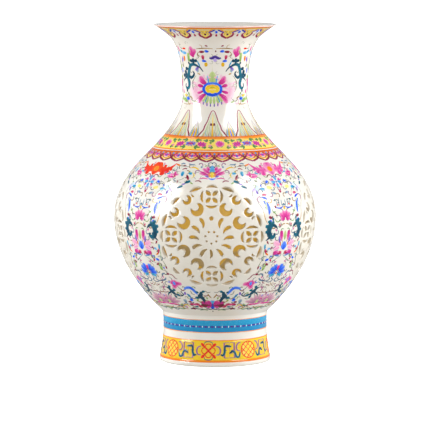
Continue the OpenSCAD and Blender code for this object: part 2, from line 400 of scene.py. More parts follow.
# %% The carver's drawing
# A point drawn on the medallion's face, seen square on, is carried to the wall
# by its own turn and length, so that circles look round from the front.
TURN = degrees(1 / BELLY_R)          # degrees of turn for each millimetre of plate
print(round(TURN, 4), "degrees of turn for each millimetre of plate")


def drawn(points):
    """The points of the drawing, laid on the flat plate."""
    out = []
    for x, y in points:
        s = length_at(MEDALLION_Z + y)
        out.append((degrees(asin(x / wall_at(s)[0])) / TURN, s))
    return out


def circle(x, y, r, n=24):
    """A ring of n points about (x, y)."""
    return [(x + r * cos(2 * pi * i / n), y + r * sin(2 * pi * i / n)) for i in range(n)]


def comma(bend, start, sweep, w0, w1, w2, n=10):
    """A curved opening about (0, 0): an arc with round ends, w0, w1 and w2 wide along it."""
    side = 1 if sweep > 0 else -1
    half = [(w0 * (1 - u) * (1 - 2 * u) + 4 * w1 * u * (1 - u) + w2 * u * (2 * u - 1)) / 2
            for u in (i / n for i in range(n + 1))]
    rays = [(cos(radians(start + sweep * i / n)), sin(radians(start + sweep * i / n)))
            for i in range(n + 1)]
    inner = [((bend - side * h) * x, (bend - side * h) * y) for h, (x, y) in zip(half, rays)]
    outer = [((bend + side * h) * x, (bend + side * h) * y) for h, (x, y) in zip(half, rays)]
    tip = lambda ray, h, way: (bend * ray[0] - way * side * ray[1] * h,
                               bend * ray[1] + way * side * ray[0] * h)
    return [tip(rays[0], half[0], -1)] + inner + [tip(rays[-1], half[-1], 1)] + outer[::-1]


def moved(points, x=0.0, y=0.0, turn=0.0, dx=0.0, flip=False):
    """Shifts an outline by dx, flips it if asked, turns it and puts it at (x, y)."""
    c, s = cos(radians(turn)), sin(radians(turn))
    out = []
    for px, py in points:
        px, py = px + dx, -py if flip else py
        out.append((x + c * px - s * py, y + s * px + c * py))
    return out[::-1] if flip else out


def in_eights(r, a, turn, points, dx=0.0):
    """An opening in each quarter, and its mirror image across the quarter's diagonal."""
    out = []
    for q in (0, 90, 180, 270):
        near, far = radians(q + a), radians(q + 90 - a)
        out.append(moved(points, r * cos(near), r * sin(near), q + turn, dx))
        out.append(moved(points, r * cos(far), r * sin(far), q + 90 - turn, dx, flip=True))
    return out


# %% The openings, drawn from the middle outwards
# Around a flower of drops stand lattice roundels, scrolling clouds and slots.
R = OPENWORK_R
openings = [circle(0, 0.36 * R, 2.2), moved(comma(10, -26, 52, 1, 2.8, 1.6), 0, -0.32 * R, 0, -10)]
for side in (-1, 1):
    for k in range(1, 6):
        a = radians(30 * k)
        drop = moved(comma(8, -34, 68, 0.8, 3.4, 3.6), dx=-8)
        if side < 0:
            drop = [(-x, y) for x, y in reversed(drop)]
        openings.append(moved(drop, -side * 0.31 * R * sin(a), 0.31 * R * cos(a),
            side * (30 * k - 14)))
for k in range(7):
    a = radians(360 / 7 * k - 90)
    openings.append(circle(0.115 * R * cos(a), 0.115 * R * sin(a), 1.1, 16))
for q in (0, 90, 180, 270):  # lattice roundels on the axes
    x, y, rim = 0.76 * R * cos(radians(q)), 0.76 * R * sin(radians(q)), 0.19 * R
    for k in range(4):
        d, b = radians(45 + 90 * k), radians(90 * k)
        openings.append(moved(comma(14, -14, 28, 0.8, 4.4, 0.8), x + 0.09 * R * cos(d),
            y + 0.09 * R * sin(d), 135 + 90 * k, -14))
        openings.append(moved(comma(rim, -33, 66, 0.8, 2.8, 0.8), x + rim * cos(b),
            y + rim * sin(b), 90 * k, -rim))
    openings.append(moved(comma(8, -34, 68, 1, 3.4, 1), 0.96 * R * cos(radians(q + 45)),
        0.96 * R * sin(radians(q + 45)), q + 45, -8))
# large clouds
openings += in_eights(0.615 * R, 28, 200, comma(5, -105, 245, 0.9, 6.4, 1.8, 16))
# small clouds
openings += in_eights(0.85 * R, 34, 215, comma(3.5, -120, 250, 0.9, 4.2, 2.0, 14))
openings += in_eights(0.945 * R, 19, 19, comma(20, -19, 38, 0.8, 3.8, 0.8), -20)
openings += in_eights(0.865 * R, 23, 100, comma(2, -20, 120, 0.8, 1.8, 0.8, 6))
print(len(openings), "openings in each medallion")

# %% The four carved medallions
RIM = 0.28                           # closes the hairline between the disc and its window
disc = plate([drawn(circle(0, 0, MEDALLION_R + RIM, 128))] + [drawn(o) for o in openings],
             WALL, 0.3)
wrapped(sliced(disc, 4, 4), TURN)


def quarter_turn(bm, quarters):
    """A copy of a quarter of the wall, turned to its place."""
    copy = bm.copy()
    bmesh.ops.rotate(copy, cent=(0, 0, 0), matrix=Matrix.Rotation(quarters * pi / 2, 3, "Z"),
                     verts=copy.verts)
    return copy


for i, side in enumerate(("front", "right", "back", "left")):
    settle("openwork_" + side, quarter_turn(disc, i), [openwork_glaze], ["medallion_" + side],
           30)
disc.free()

# %% The belly wall, a quarter at a time
# One quarter holds one whole window. Four turned copies are welded into one
# wall, so that no joint breaks its reflections.
low, high = length_at(FOOT_H + 0.001), length_at(SEAM_Z - 0.001)
edge_x = 45 / TURN
quarter = plate([[(-edge_x, low), (edge_x, low), (edge_x, high), (-edge_x, high)],
                 drawn(circle(0, 0, MEDALLION_R, 128))], WALL, 0.0)
quarter = sliced(quarter, 3, 4)
sides = [f for f in quarter.faces if all(abs(abs(v.co.x) - edge_x) < 1e-3 for v in f.verts)]
bmesh.ops.delete(quarter, geom=sides, context="FACES")
wrapped(quarter, TURN)
belly = bmesh.new()
for i in range(4):
    copy = quarter_turn(quarter, i)
    carrier = bpy.data.meshes.new("quarter")
    copy.to_mesh(carrier)
    copy.free()
    belly.from_mesh(carrier)
    bpy.data.meshes.remove(carrier)
quarter.free()
bmesh.ops.remove_doubles(belly, verts=belly.verts, dist=2e-6)
settle("belly_wall", belly, [porcelain], ["upper_belly", "lower_belly"], 40)

# %% [markdown]
# ## Overglaze enamels
# The painter works on the fired glaze with thick ground glass in oil. Each
# touch of the brush dries as a low pillow that is highest in its middle, and
# the colour runs from thin and pale to thick and deep. A brush stroke here is a
# small grid that is bent along a path: its rims sink just under the glaze, its
# middle stands a fifth of a millimetre proud, and a tint value on every point
# says how thick the colour is.

# %% Enamel colours
# Each enamel has a pale, a middle and a deep colour. Its surface is wet-looking
# glass, and its colour pools in clouds about 1.2 mm across. The thin washes and
# lines are drier, and the gilding is part metal.
POOL_MM = 1.2


def enamel(name, pale, middle, deep, roughness=0.12, metallic=0.0):
    """An enamel whose colour follows the tint on the piece's points."""
    m, shader = finish(name, roughness, specular=0.4, metallic=metallic)
    tint = node(m, "ShaderNodeAttribute", [("attribute_name", "tint")])
    place = node(m, "ShaderNodeTexCoord")
    pools = node(m, "ShaderNodeTexNoise", [("Scale", MM / POOL_MM), ("Detail", 1.0)],
                 [("Vector", place.outputs["Object"])])
    spread = node(m, "ShaderNodeMath", [("operation", "MULTIPLY_ADD"), (1, 0.3), (2, -0.15)],
                  [(0, pools.outputs["Fac"])])
    depth = node(m, "ShaderNodeMath", [("operation", "ADD"), ("use_clamp", True)],
                 [(0, tint.outputs["Fac"]), (1, spread.outputs[0])])
    ramp = node(m, "ShaderNodeValToRGB", links=[("Fac", depth.outputs[0])])
    ramp.color_ramp.elements.new(0.5)
    for stop, code in zip(ramp.color_ramp.elements, (pale, middle, deep)):
        stop.color = srgb(code)
    join(m, ramp.outputs["Color"], shader, "Base Color")
    return m


ENAMELS = {e.name.removesuffix("_enamel"): e for e in (
    enamel("rose_enamel", "F4C2DC", "D93A98", "A30E6A"),
    enamel("crimson_enamel", "E58BA6", "BE2457", "7C1037"),
    enamel("pink_wash", "F4EDEA", "F3D5E2", "E9A9C9", 0.15),
    enamel("cobalt_enamel", "7FB2FA", "1158EE", "152C9C"),
    enamel("sky_enamel", "C9DDF6", "6BB4E8", "2F86C6"),
    enamel("teal_enamel", "2A8CA0", "0A5C74", "062A46"),
    enamel("leaf_enamel", "CBD99A", "8FB35F", "3E7A45"),
    enamel("lemon_enamel", "F6E682", "F0CE2C", "CE9614"),
    enamel("orange_enamel", "F4A62E", "E87612", "BE3A10"),
    enamel("iron_red_enamel", "F2600F", "E62204", "A81206", 0.22),
    enamel("turquoise_enamel", "86CCE4", "1E96C6", "116CAC"),
    enamel("violet_enamel", "C9B6EA", "7B5CC4", "33257E"),
    enamel("maroon_enamel", "B3506A", "861F3C", "551129"),
    enamel("sepia_line", "B9B6A2", "7C7C68", "47493E", 0.25),
    enamel("white_enamel", "FBFAF5", "F5F2EA", "E4DED0"),
    enamel("slate_enamel", "C9D2DC", "7E9BB4", "3A5673"),
    enamel("mauve_wash", "E6C8D0", "C48CA8", "8C5C80", 0.2),
    enamel("sage_wash", "E9E4D4", "D2D1B8", "AFB591", 0.2),
    enamel("gilding", "D9B65A", "B98A34", "7E5A1E", 0.3, 0.75))}
print(len(ENAMELS), "enamels")


# %% The painter
SUNK = -0.05                         # a stroke's rims lie this far under the glaze, in millimetres
ROUND = (0.1, 0.66, 0.88, 0.97, 1, 0.97, 0.88, 0.66, 0.1)      # how wide a dot is along its height


class Painter:
    """Lays enamel on the wall.

    Until the painting is finished, a point is (turn, length up the wall, lift).
    """

    def __init__(self):
        self.bm = bmesh.new()
        self.tint = self.bm.verts.layers.float.new("tint")
        self.used = []
        self.side = 1

    def sides(self):
        """Paints what follows once on each side of the middle line, as mirror images."""
        for self.side in (-1, 1):
            yield self.side

    def at(self, turn, z):
        """Moves the hand to a spot: later strokes are in millimetres about it."""
        self.turn, self.length = self.side * turn, length_at(z)
        return self

    def spot(self, x, y):
        """The turn and the length up the wall of a point about the hand."""
        length = self.length + y
        return self.turn + self.side * degrees(x / wall_at(length)[0]), length

    def sheet(self, columns, rows, name):
        """A flat grid of one enamel, with its points between -1 and 1."""
        if name not in self.used:
            self.used.append(name)
        grid = bmesh.ops.create_grid(self.bm, x_segments=columns, y_segments=rows, size=1)["verts"]
        for f in {f for v in grid for f in v.link_faces}:
            f.material_index = self.used.index(name)
        return grid

    def stroke(self, path, widths, name, tints=(0.4, 0.9), rise=0.2, rim=-0.25, fine=3):
        """One touch of the brush along a path, with widths and tints spread evenly along it."""
        n = (len(path) - 1) * fine
        spine = [curve_point(path, i / fine) for i in range(n + 1)]
        wide = spread_over(widths, n)
        tone = spread_over(tints, n)
        across = 2 if max(widths) <= 2.5 else 4 if max(widths) <= 8 else 10
        for v in self.sheet(n, across, name):
            i, w = round((v.co.x + 1) / 2 * n), v.co.y
            (x0, y0), (x1, y1) = spine[max(i - 1, 0)], spine[min(i + 1, n)]
            k = max(wide[i], 0.08) / 2 * w / (hypot(x1 - x0, y1 - y0) or 1)
            turn, length = self.spot(spine[i][0] - (y1 - y0) * k, spine[i][1] + (x1 - x0) * k)
            v.co = (turn, length, SUNK if abs(w) > 0.99 else rise * (0.75 - 0.25 * w * w))
            v[self.tint] = min(max(tone[i] + rim * abs(w), 0), 1)
        return self

    def trace(self, path, widths, name, tints=(0.4, 0.9), **more):
        """A stroke whose path is given as (turn, height) points on the vase."""
        self.at(*path[0])
        here = []
        for turn, z in path:
            length = length_at(z)
            here.append((radians(turn - path[0][0]) * wall_at(length)[0], length - self.length))
        return self.stroke(here, widths, name, tints, **more)

    def dot(self, x, y, r, name, tint=0.7, tall=1.0, rise=0.22):
        """A round touch, tall times as high as it is wide."""
        return self.stroke([(x, y - r * tall), (x, y), (x, y + r * tall)],
                           [r * 2 * k for k in ROUND], name, (tint, tint), rise, fine=4)

    def band(self, z0, z1, name, tint=0.5, span=90.0, rise=0.05):
        """A flat ring of colour between two heights."""
        low, high = length_at(z0), length_at(z1)
        rows = max(3, int((high - low) / 2.5))
        for v in self.sheet(int(span / 2.5), rows, name):
            i = round((v.co.y + 1) / 2 * rows)
            rim = i in (0, rows)
            inside = low + 0.2 + (high - low - 0.4) * (i - 1) / (rows - 2)
            length = (low, high)[i == rows] if rim else inside
            v.co = (v.co.x * span / 2, length, -0.04 if rim else rise)
            v[self.tint] = tint
        return self

    def mirrored(self):
        """Adds the mirror image about the front of everything painted so far."""
        everything = self.bm.verts[:] + self.bm.edges[:] + self.bm.faces[:]
        copy = bmesh.ops.duplicate(self.bm, geom=everything)["geom"]
        for v in copy:
            if isinstance(v, bmesh.types.BMVert):
                v.co.x = -v.co.x
        return self

    def finished(self, name, repeats, start=0.0):
        """Wraps the painting on the wall and repeats it round the vase."""
        bm = self.bm
        for v in bm.verts:
            v.co = on_wall(v.co.x + start, v.co.y, v.co.z)
        first = bm.verts[:] + bm.edges[:] + bm.faces[:]
        for i in range(1, repeats):
            copy = bmesh.ops.duplicate(bm, geom=first)["geom"]
            bmesh.ops.rotate(bm, cent=(0, 0, 0), matrix=Matrix.Rotation(2 * pi * i / repeats, 3,
                "Z"), verts=[v for v in copy if isinstance(v, bmesh.types.BMVert)])
        bmesh.ops.remove_doubles(bm, verts=bm.verts, dist=1e-6)
        bm.normal_update()
        for f in bm.faces:
            centre = f.calc_center_median()
            if f.normal.x * centre.x + f.normal.y * centre.y < 0:
                f.normal_flip()
        return settle(name, bm, [ENAMELS[e] for e in self.used], (), 80)


def curve_point(path, t):
    """A point on the smooth curve through the path's points."""
    i = min(int(t), len(path) - 2)
    t -= i
    a, b, c, d = path[max(i - 1, 0)], path[i], path[i + 1], path[min(i + 2, len(path) - 1)]
    return tuple(0.5 * (2 * b[j] + (c[j] - a[j]) * t
                        + (2 * a[j] - 5 * b[j] + 4 * c[j] - d[j]) * t * t
                        + (3 * b[j] - a[j] - 3 * c[j] + d[j]) * t ** 3) for j in (0, 1))


def spread_over(values, n):
    """The values spread evenly over n + 1 points."""
    out = []
    for i in range(n + 1):
        t = i / n * (len(values) - 1)
        k = min(int(t), len(values) - 2)
        out.append(values[k] + (values[k + 1] - values[k]) * (t - k))
    return out


# %% Small motifs that the painter repeats
LEAF = (0.1, 0.7, 1, 0.8, 0.1)        # how wide a leaf is along its length
PETAL = (0.3, 0.75, 1, 1, 0.55)
LONGER, WIDER = 1.15, 1.3            # how much a wet touch spreads


def petal(art, x, y, angle, long, wide, name, tints=(0.9, 0.3), shape=PETAL, bend=0):
    """A petal or leaf from (x, y) outwards at an angle, bent sideways by a share of its length."""
    c, s = cos(radians(angle)), sin(radians(angle))
    points = [(x + long * (u * c - bend * u * (1 - u) * 2 * s),
               y + long * (u * s + bend * u * (1 - u) * 2 * c)) for u in (0, 0.5, 1)]
    art.stroke(points, [wide * k for k in shape], name, tints)


def blossom(art, r, name, heart, petals=5, start=90, tints=(0.95, 0.25), heart_tint=0.6):
    """A round flower: petals about a heart."""
    for k in range(petals):
        petal(art, 0, 0, start + 360 / petals * k, r, r * 4.4 / petals, name, tints)
    art.dot(0, 0, r * 0.32, heart, heart_tint, rise=0.3)


def curl(art, x, y, angle, r, sweep, name="sepia_line", width=0.55, tints=(0.5, 0.8), end=0.35):
    """A scrolling line that starts along an angle and winds in to end times its first radius."""
    side = 1 if sweep > 0 else -1
    cx, cy = x - side * r * sin(radians(angle)), y + side * r * cos(radians(angle))
    steps = max(4, int(abs(sweep) / 40))
    points = []
    for i in range(steps + 1):
        u = i / steps
        a, k = radians(angle - side * 90 + sweep * u), r * (1 - (1 - end) * u)
        points.append((cx + k * cos(a), cy + k * sin(a)))
    art.stroke(points, (width * 0.6, width, width, width * 1.5), name, tints, 0.12, 0)


def touches(art, enamels, tints=(0.85, 0.3), shape=PETAL):
    """Petals, in rows of turn, height, angle, length, width and perhaps bend, for each enamel.

    Each is laid a little longer and wider than its row says, because a wet touch spreads.
    """
    for name, rows in enamels.items():
        for turn, z, angle, long, wide, *bend in rows:
            petal(art.at(turn, z), 0, 0, angle, long * LONGER, wide * WIDER, name, tints, shape,
                *bend)


def curls(art, rows):
    """One scrolling line for each row of turn, height, angle, radius, sweep, enamel and width."""
    for turn, z, angle, r, sweep, name, width in rows:
        curl(art.at(turn, z), 0, 0, angle, r, sweep, name, width)


def lines(art, name, width, *paths, tints=(0.5, 0.7)):
    """Fine lines of one enamel through (turn, height) points, thin at both ends."""
    for path in paths:
        art.trace(path, (width * 0.7, width * 1.3, width * 1.3, width * 0.7), name, tints,
            rise=0.16, rim=0)


print("motifs ready")

# %% [markdown]
# ## The painted borders of the mouth and shoulder
# The mouth ends in a ring of cloud heads. The shoulder carries a yellow band
# of flowers between orange lines, a ring of overlapping scales below it and
# tall pointed leaves above it, a device that covers the joint with the neck.

# %% Cloud heads under the lip
art = Painter()
span = 360 / 14
art.band(345.8, 347.4, "lemon", 0.4, span)
art.band(346.6, 348.8, "orange", 0.45, span, 0.08)
art.band(348.5, 349.3, "iron_red", 0.3, span, 0.1)
art.at(0, 341)
art.stroke([(0, 7.5), (0, 4), (0, 0), (0, -5)], (18, 12.5, 10.5, 8.5, 1.6), "lemon",
    (0.6, 0.6, 0.4, 0.2), 0.1)
for side in art.sides():
    art.stroke([(0, -5.8), (2.6, -4.2), (5.2, -2.4), (6, 0.6), (4.7, 3.4)],
        (2.8, 3.2, 3.2, 2.8, 1.8), "crimson", (0.9, 1, 0.8))
    art.stroke([(4, 3), (6.6, 4.8), (9.6, 6.8), (11.6, 8.6)], (1.8, 2.6, 2.6, 1.8), "cobalt",
        (1, 1))
    art.stroke([(1.5, 1.6), (2.2, 4), (4, 6.6)], (1, 1.4, 0.7), "violet", (1, 1))
    art.stroke([(3.2, -0.8), (3.4, 0.8), (2.2, 1.8)], (1, 1.1, 0.7), "orange", (0.9, 0.9))
    art.stroke([(6.2, 6.6), (7.6, 8.2)], (1.4, 1.2), "maroon", (0.8, 0.6))
    petal(art, 4.6, 5, 40, 6, 2.6, "orange", (0.5, 0.2), LEAF)
art.dot(0, 0, 1.7, "maroon", 1)
art.dot(0, 4.6, 1.1, "lemon", 0.2, 1.9, 0.26)
for side in art.sides():  # halves of what stands between two heads
    art.at(span / 2, 341)
    art.stroke([(0, 1.6), (0, 4.2), (0, 6.8)], (0.3, 3.6, 3.4, 0.3), "cobalt", (0.6, 0.5),
        0.2 if side > 0 else 0.18)
    art.stroke([(0, -3.2), (0, -1.2), (0, 0.8)], (2.5, 2.6, 0.5), "crimson", (0.9, 0.7),
        0.2 if side > 0 else 0.18)
    art.dot(-3.4, 0.4, 0.6, "gilding", 0.5)
art.finished("mouth_cloud_border", 14, start=-9.4)

# %% Two large lotus flowers on the neck
art = Painter()
art.at(0, 284.5)
for side in art.sides():
    art.stroke([(2, 14.5), (12, 12), (18.5, 0), (13, -12), (4, -16)], (7, 13, 16, 13, 7),
        "pink_wash", (0.7, 1, 0.8), 0.03, -0.8)
    for k in range(7):  # soft rays in the haze
        a = -56 + 19 * k
        petal(art, 11 * cos(radians(a)), 9 * sin(radians(a)), a, 8.6, 1.3, "rose", (0.22, 0.02),
            LEAF)
    petal(art, 6, 4.4, 52, 11, 7, "rose", (1, 0.3), bend=-0.25)
    petal(art, 6.4, 9.4, 150, 5.6, 3, "rose", (0.3, 0.1), bend=-0.3)
    petal(art, 9.6, 2.4, 14, 6.4, 4.6, "rose", (1, 0.5))
    petal(art, 9.6, -2.4, -16, 7, 4, "rose", (1, 0.5))
    petal(art, 6.4, -5.2, -46, 13, 6.6, "rose", (1, 0.3), bend=0.25)
    petal(art, 3.6, 6, 78, 8, 3, "sky", (1, 0.4), LEAF)
    petal(art, 4.4, -6.6, -64, 8.8, 2.4, "turquoise", (1, 0.4), LEAF)
    for x, y, a in ((1.4, -7, -86), (3.6, -6.8, -72), (5.8, -6, -58)):
        petal(art, x, y, a, 8.2, 3.4, "leaf", (0.1, 0.5))
    for x, y in ((2, -16.6), (5.6, -16), (9.6, -14.6)):
        art.dot(x, y, 0.9, "violet", 0.85, 1.9)
art.stroke([(0, 6), (0, 12), (0, 18)], (6.4, 8.2, 8.8, 7.4, 1.4), "leaf", (0.4, 0.3, 0.15))
art.stroke([(0, 17), (0, 25.5)], (1.6, 1.4, 0.5), "sage_wash", (0.4, 0.1))
ring = [(9.3 * cos(radians(a)), 6.1 * sin(radians(a))) for a in range(0, 361, 30)]
art.stroke(ring, (3.6, 3.2, 3.6, 4.4, 3.6), "cobalt", (0.6, 0.4, 0.6, 0.7, 0.6), 0.3)
for x, r in ((0, 4.7), (-4.4, 4), (4.4, 4)):
    art.dot(x, 0, r, "lemon", 0.55, 1, 0.2)
art.stroke([(-6.6, 0), (-4, 3), (0, 3.9), (4, 3), (6.6, 0)], (0.8, 1.4, 1.6, 1.4, 0.8), "orange",
    (0.7, 0.4, 0.7), 0.28)
art.stroke([(-3.8, -2.5), (0, -3.1), (3.8, -2.5)], (0.8, 1.8, 0.8), "lemon", (0.6, 0.5), 0.28)
art.stroke([(-3.4, -0.4), (0, -0.9), (3.4, -0.4)], (0.5, 1.2, 0.5), "white", (0.2, 0.2), 0.3)
art.stroke([(-2.8, 0.9), (0, 2), (2.8, 0.9)], (0.7, 1.2, 0.7), "sepia_line", (1, 1), 0.32)
art.finished("neck_lotus", 2, start=-2.5)

# %% Scrolling leaves beside the lotus
art = Painter()
art.trace([(-19.4, 302.2), (-24, 306), (-30, 308), (-37, 309.6), (-43.4, 308.4), (-47.6, 304),
    (-50, 299.4), (-54, 297)], (0.9, 1.8, 2.6, 3.8, 4.6, 4.8, 5.6, 4.2), "teal",
    (1, 0.9, 0.5, 0.4, 0.6))
art.trace([(-50, 298.6), (-46, 296), (-40.6, 296.6), (-37, 299.6), (-38.8, 302.2)],
    (4.4, 4, 3.2, 2.6, 1.6), "teal", (0.7, 1))
art.trace([(-52, 298), (-57, 296.2), (-62, 294.4), (-68.4, 291.6)], (4.2, 3.6, 2.2, 0.6), "teal",
    (0.6, 1))
art.trace([(-54, 296), (-50.6, 293), (-49.4, 289), (-52, 285.4), (-57.2, 284.6), (-60.6, 287.2),
    (-58.6, 289.6)], (4.6, 5.4, 5, 4.4, 3.2, 2.2, 1.4), "teal", (0.5, 0.4, 0.9))
touches(art, {
    "teal": ((-36.6, 309.6, 92, 5.4, 3.4), (-37, 312.6, 168, 4, 3), (-35.8, 312.8, 10, 3.8, 3),
             (-49.6, 304.4, 172, 4.4, 3.4), (-56, 297.4, 112, 5.4, 4.4), (-59, 297, 166, 4.4, 3.4),
             (-55.6, 285, -94, 3.6, 2.4), (-44, 296.8, -80, 2.4, 1.8),
             (-45, 309, 126, 3, 2.2))}, (0.8, 1))
touches(art, {
    "violet": ((-27.6, 307.2, -128, 4.6, 3.2), (-66, 311.6, 60, 5.2, 3)),
    "slate": ((-30.6, 306.2, -80, 4.2, 2.6),),
    "turquoise": ((-24.6, 307.4, 116, 5.6, 1.9), (-57, 321, 150, 5, 2.8)),
    "rose": ((-35.6, 316.8, 98, 10.5, 5.2), (-35, 318.6, 66, 7, 3.8), (-36.2, 317.4, 128, 6.4, 3.4),
             (-67, 279, 120, 4.4, 2.4), (-68, 322, 100, 5.6, 3)),
    "leaf": ((-46.4, 311.6, 86, 8.8, 3.4), (-44, 319.4, 56, 5, 2.2), (-54, 271, 160, 7, 3.8),
             (-60, 274, 190, 5.4, 2.8), (-29, 270.6, 170, 3.6, 1.6)),
    "sky": ((-49, 321, 176, 6.4, 3.4),),
    "iron_red": ((-56, 325.4, 4, 4.6, 2),),
    "orange": ((-58, 312.4, 78, 5, 3),),
    "sepia_line": ((-63, 306.4, 140, 3.4, 2.2), (-40, 289.4, 100, 3, 1.6)),
    "crimson": ((-18, 314.6, 98, 4.2, 3),),
    "cobalt": ((-13, 313, 176, 4.2, 2.4), (-8.6, 323, 172, 3.8, 2.8), (-48.4, 274, 176, 4.6, 3.4),
               (-70, 300, 90, 4.8, 2.6)),
    "maroon": ((-15.4, 322.8, 184, 4.8, 2.6), (-9.6, 328.4, 160, 2.6, 1.8)),
    "lemon": ((-54.6, 276.6, 170, 5.6, 2),),
    "gilding": ((-24.6, 299, 150, 2.6, 1.4),)})
lines(art, "gilding", 1.1, [(-2.4, 326), (-12, 326.4), (-20, 326.2), (-28, 325.6)],
    [(-44, 269.4), (-54, 268.2), (-67, 268.8)], [(-23, 317.6), (-27, 320), (-24.6, 322.6)])
lines(art, "sepia_line", 0.8, [(-24, 318), (-28, 320.5), (-26, 316.5), (-31, 316)],
    [(-62, 318), (-66, 314), (-64, 308.4)], [(-40, 303), (-42.6, 300.6), (-46, 303)],
    [(-33, 298), (-38, 294.4), (-42, 289), (-40, 283.4)], [(-30, 275.4), (-36, 272), (-43, 272.6),
    (-47, 277.4)], [(-61, 281), (-58, 278), (-52.6, 278.4)])
art.at(-14, 309.6).dot(0, 0, 2.1, "lemon", 0.9, 1.1)
curls(art, ((-46, 267.6, 176, 5.4, -240, "gilding", 1.6), (-62, 277, -70, 4.6, 230, "leaf", 1.7),
    (-40, 326.6, 200, 4, 230, "leaf", 1.2), (-22, 330, 10, 3, -230, "gilding", 1.2),
    (-56, 330, 160, 3.6, 230, "sepia_line", 1.1), (-66, 290, 80, 4, 220, "gilding", 1.2)))
art.at(-38, 281)
for x, y, a, r, w in ((0, 0, 120, 5.4, -220), (2, 6, 60, 4, 200), (-3, -6, 200, 4.2, 220),
        (-9, 3, 150, 2.6, -220)):
    curl(art, x, y, a, r, w, "pink_wash", 1.6, (1, 0.8))
    curl(art, x + 1, y, a + 40, r * 0.8, w, "sepia_line", 0.6, (0.3, 0.5))
for z, turn in ((262, -30), (300, -8), (331, -40), (311, -8), (331, -64), (303, -27), (318, -8),
        (265, -62)):
    curl(art.at(turn, z), 0, 0, turn * 7, 2.4, 230, "sepia_line", 0.6, (0.3, 0.6))
art.mirrored()
art.trace([(-8, 316.4), (-4.6, 316), (1.2, 317.2), (7, 316), (10.4, 316.4)], (1.6, 3, 4.6, 3, 1.6),
    "violet", (1, 1), rise=0.24)
art.at(1.2, 314.4).dot(0, 0, 2.3, "violet", 0.2, 0.9, 0.3)
art.at(2, 323.4).dot(0, 0, 1, "maroon", 0.9)
art.finished("neck_scrolls", 2, start=1)

# %% Smaller flowers at the sides of the neck
art = Painter()
touches(art, {
    "leaf": ((6, 296, 0, 6, 3), (12, 303, 60, 6, 3), (10, 272, 30, 6, 2.6)),
    "sky": ((10, 318, 40, 6, 3.4),),
    "orange": ((5, 326, 120, 4.6, 2.4),),
    "rose": ((4, 270, 0, 5, 2.4),),
    "crimson": ((14, 288, 90, 5, 2.6),)})
lines(art, "sepia_line", 0.7, [(0, 311), (6, 308), (11, 311), (9, 315)],
    [(3, 276), (10, 278), (15, 275)])
art.mirrored()
blossom(art.at(0, 288), 9, "rose", "cobalt", 8, 90, (1, 0.4))
blossom(art.at(0, 319), 5, "cobalt", "lemon", 6, 90, (0.8, 0.4), 0.3)
art.trace([(0, 298), (0, 306), (0, 313)], (2, 1.6, 0.8), "teal", (0.8, 1))
art.finished("neck_side_flowers", 2, start=91)

# %% Tall leaves round the bottom of the neck
art = Painter()
art.band(234.2, 236.2, "orange", 0.3, 45, 0.1)
art.band(236.1, 237.2, "orange", 0.75, 45, 0.09)
art.trace([(0, 237), (0, 243), (0, 251), (0, 260.6)], (27, 18.5, 11.5, 2), "sage_wash",
    (0.9, 0.6, 0.4, 0.5), rise=0.1, rim=-0.2)
for side in art.sides():
    art.trace([(17.2, 236.8), (14.2, 240.6), (11.6, 243.4), (10.4, 247.4), (7.6, 252), (5.8, 256.4),
        (3, 261), (0, 262.6)], (2, 2.2, 1.9, 1.9, 1.6, 1.5, 1.3, 1), "maroon",
        (0.7, 0.45, 0.5, 0.3))
    art.trace([(12.6, 237), (8.6, 242), (5.6, 250), (1.6, 259)], (1.4, 1.8, 1.3, 0.4), "leaf",
        (0.3, 0.6, 0.2), rise=0.16)
    for k, (turn, top) in enumerate(((10.5, 243.5), (8, 247.5), (5.6, 252))):
        art.trace([(turn - 4.5, 237), (turn - 2, (237 + top) / 2), (turn * 0.62, top)],
            (1, 1.2, 0.4), ("turquoise", "leaf", "sepia_line")[k], (0.6, 0.3), rise=0.18)
    art.trace([(4.6, 237), (3.4, 241.4)], (1.9, 0.4), "rose", (1, 0.6))
    art.trace([(11, 237), (9.2, 240.6)], (1.7, 0.4), "orange", (0.7, 0.5))
    art.trace([(24, 237), (22.4, 243), (22.1, 250.6)], (7, 4.6, 0.5), "sage_wash", (0.2, 0),
        rise=0.08 - 0.01 * side)
    art.trace([(22.5, 252), (19.4, 246), (17.4, 241.5), (16.6, 237.4)], (0.4, 1.1, 1.1, 0.9),
        "sepia_line", (0.2, 0.5))
    art.trace([(20.4, 237), (20.6, 240.8), (21.4, 245.4)], (3, 3, 0.6), "lemon", (0.95, 0.7))
    art.trace([(18.2, 237), (18.8, 241), (20, 244.6)], (1.3, 1.5, 0.4), "turquoise", (0.7, 0.5))
    art.trace([(22.5, 237), (22.5, 240.4), (22.5, 244.4)], (2, 2.2, 0.4), "cobalt", (0.7, 0.4),
        rise=0.22 - 0.01 * side)
    art.trace([(22.5, 245), (22.5, 249), (22.5, 254)], (1.8, 1.6, 0.2), "violet", (0.1, 0),
        rise=0.14 - 0.01 * side)
    art.at(2.1, 248.6).dot(0, 0, 1.4, "maroon", 1, 1.2, 0.34)
art.trace([(0, 237), (0, 242), (0, 250), (0, 259)], (2.6, 2.4, 1.7, 0.5), "lemon", (0.9, 0.9, 0.6),
    rise=0.28)
art.finished("neck_pointed_leaves", 8, start=-1.2)

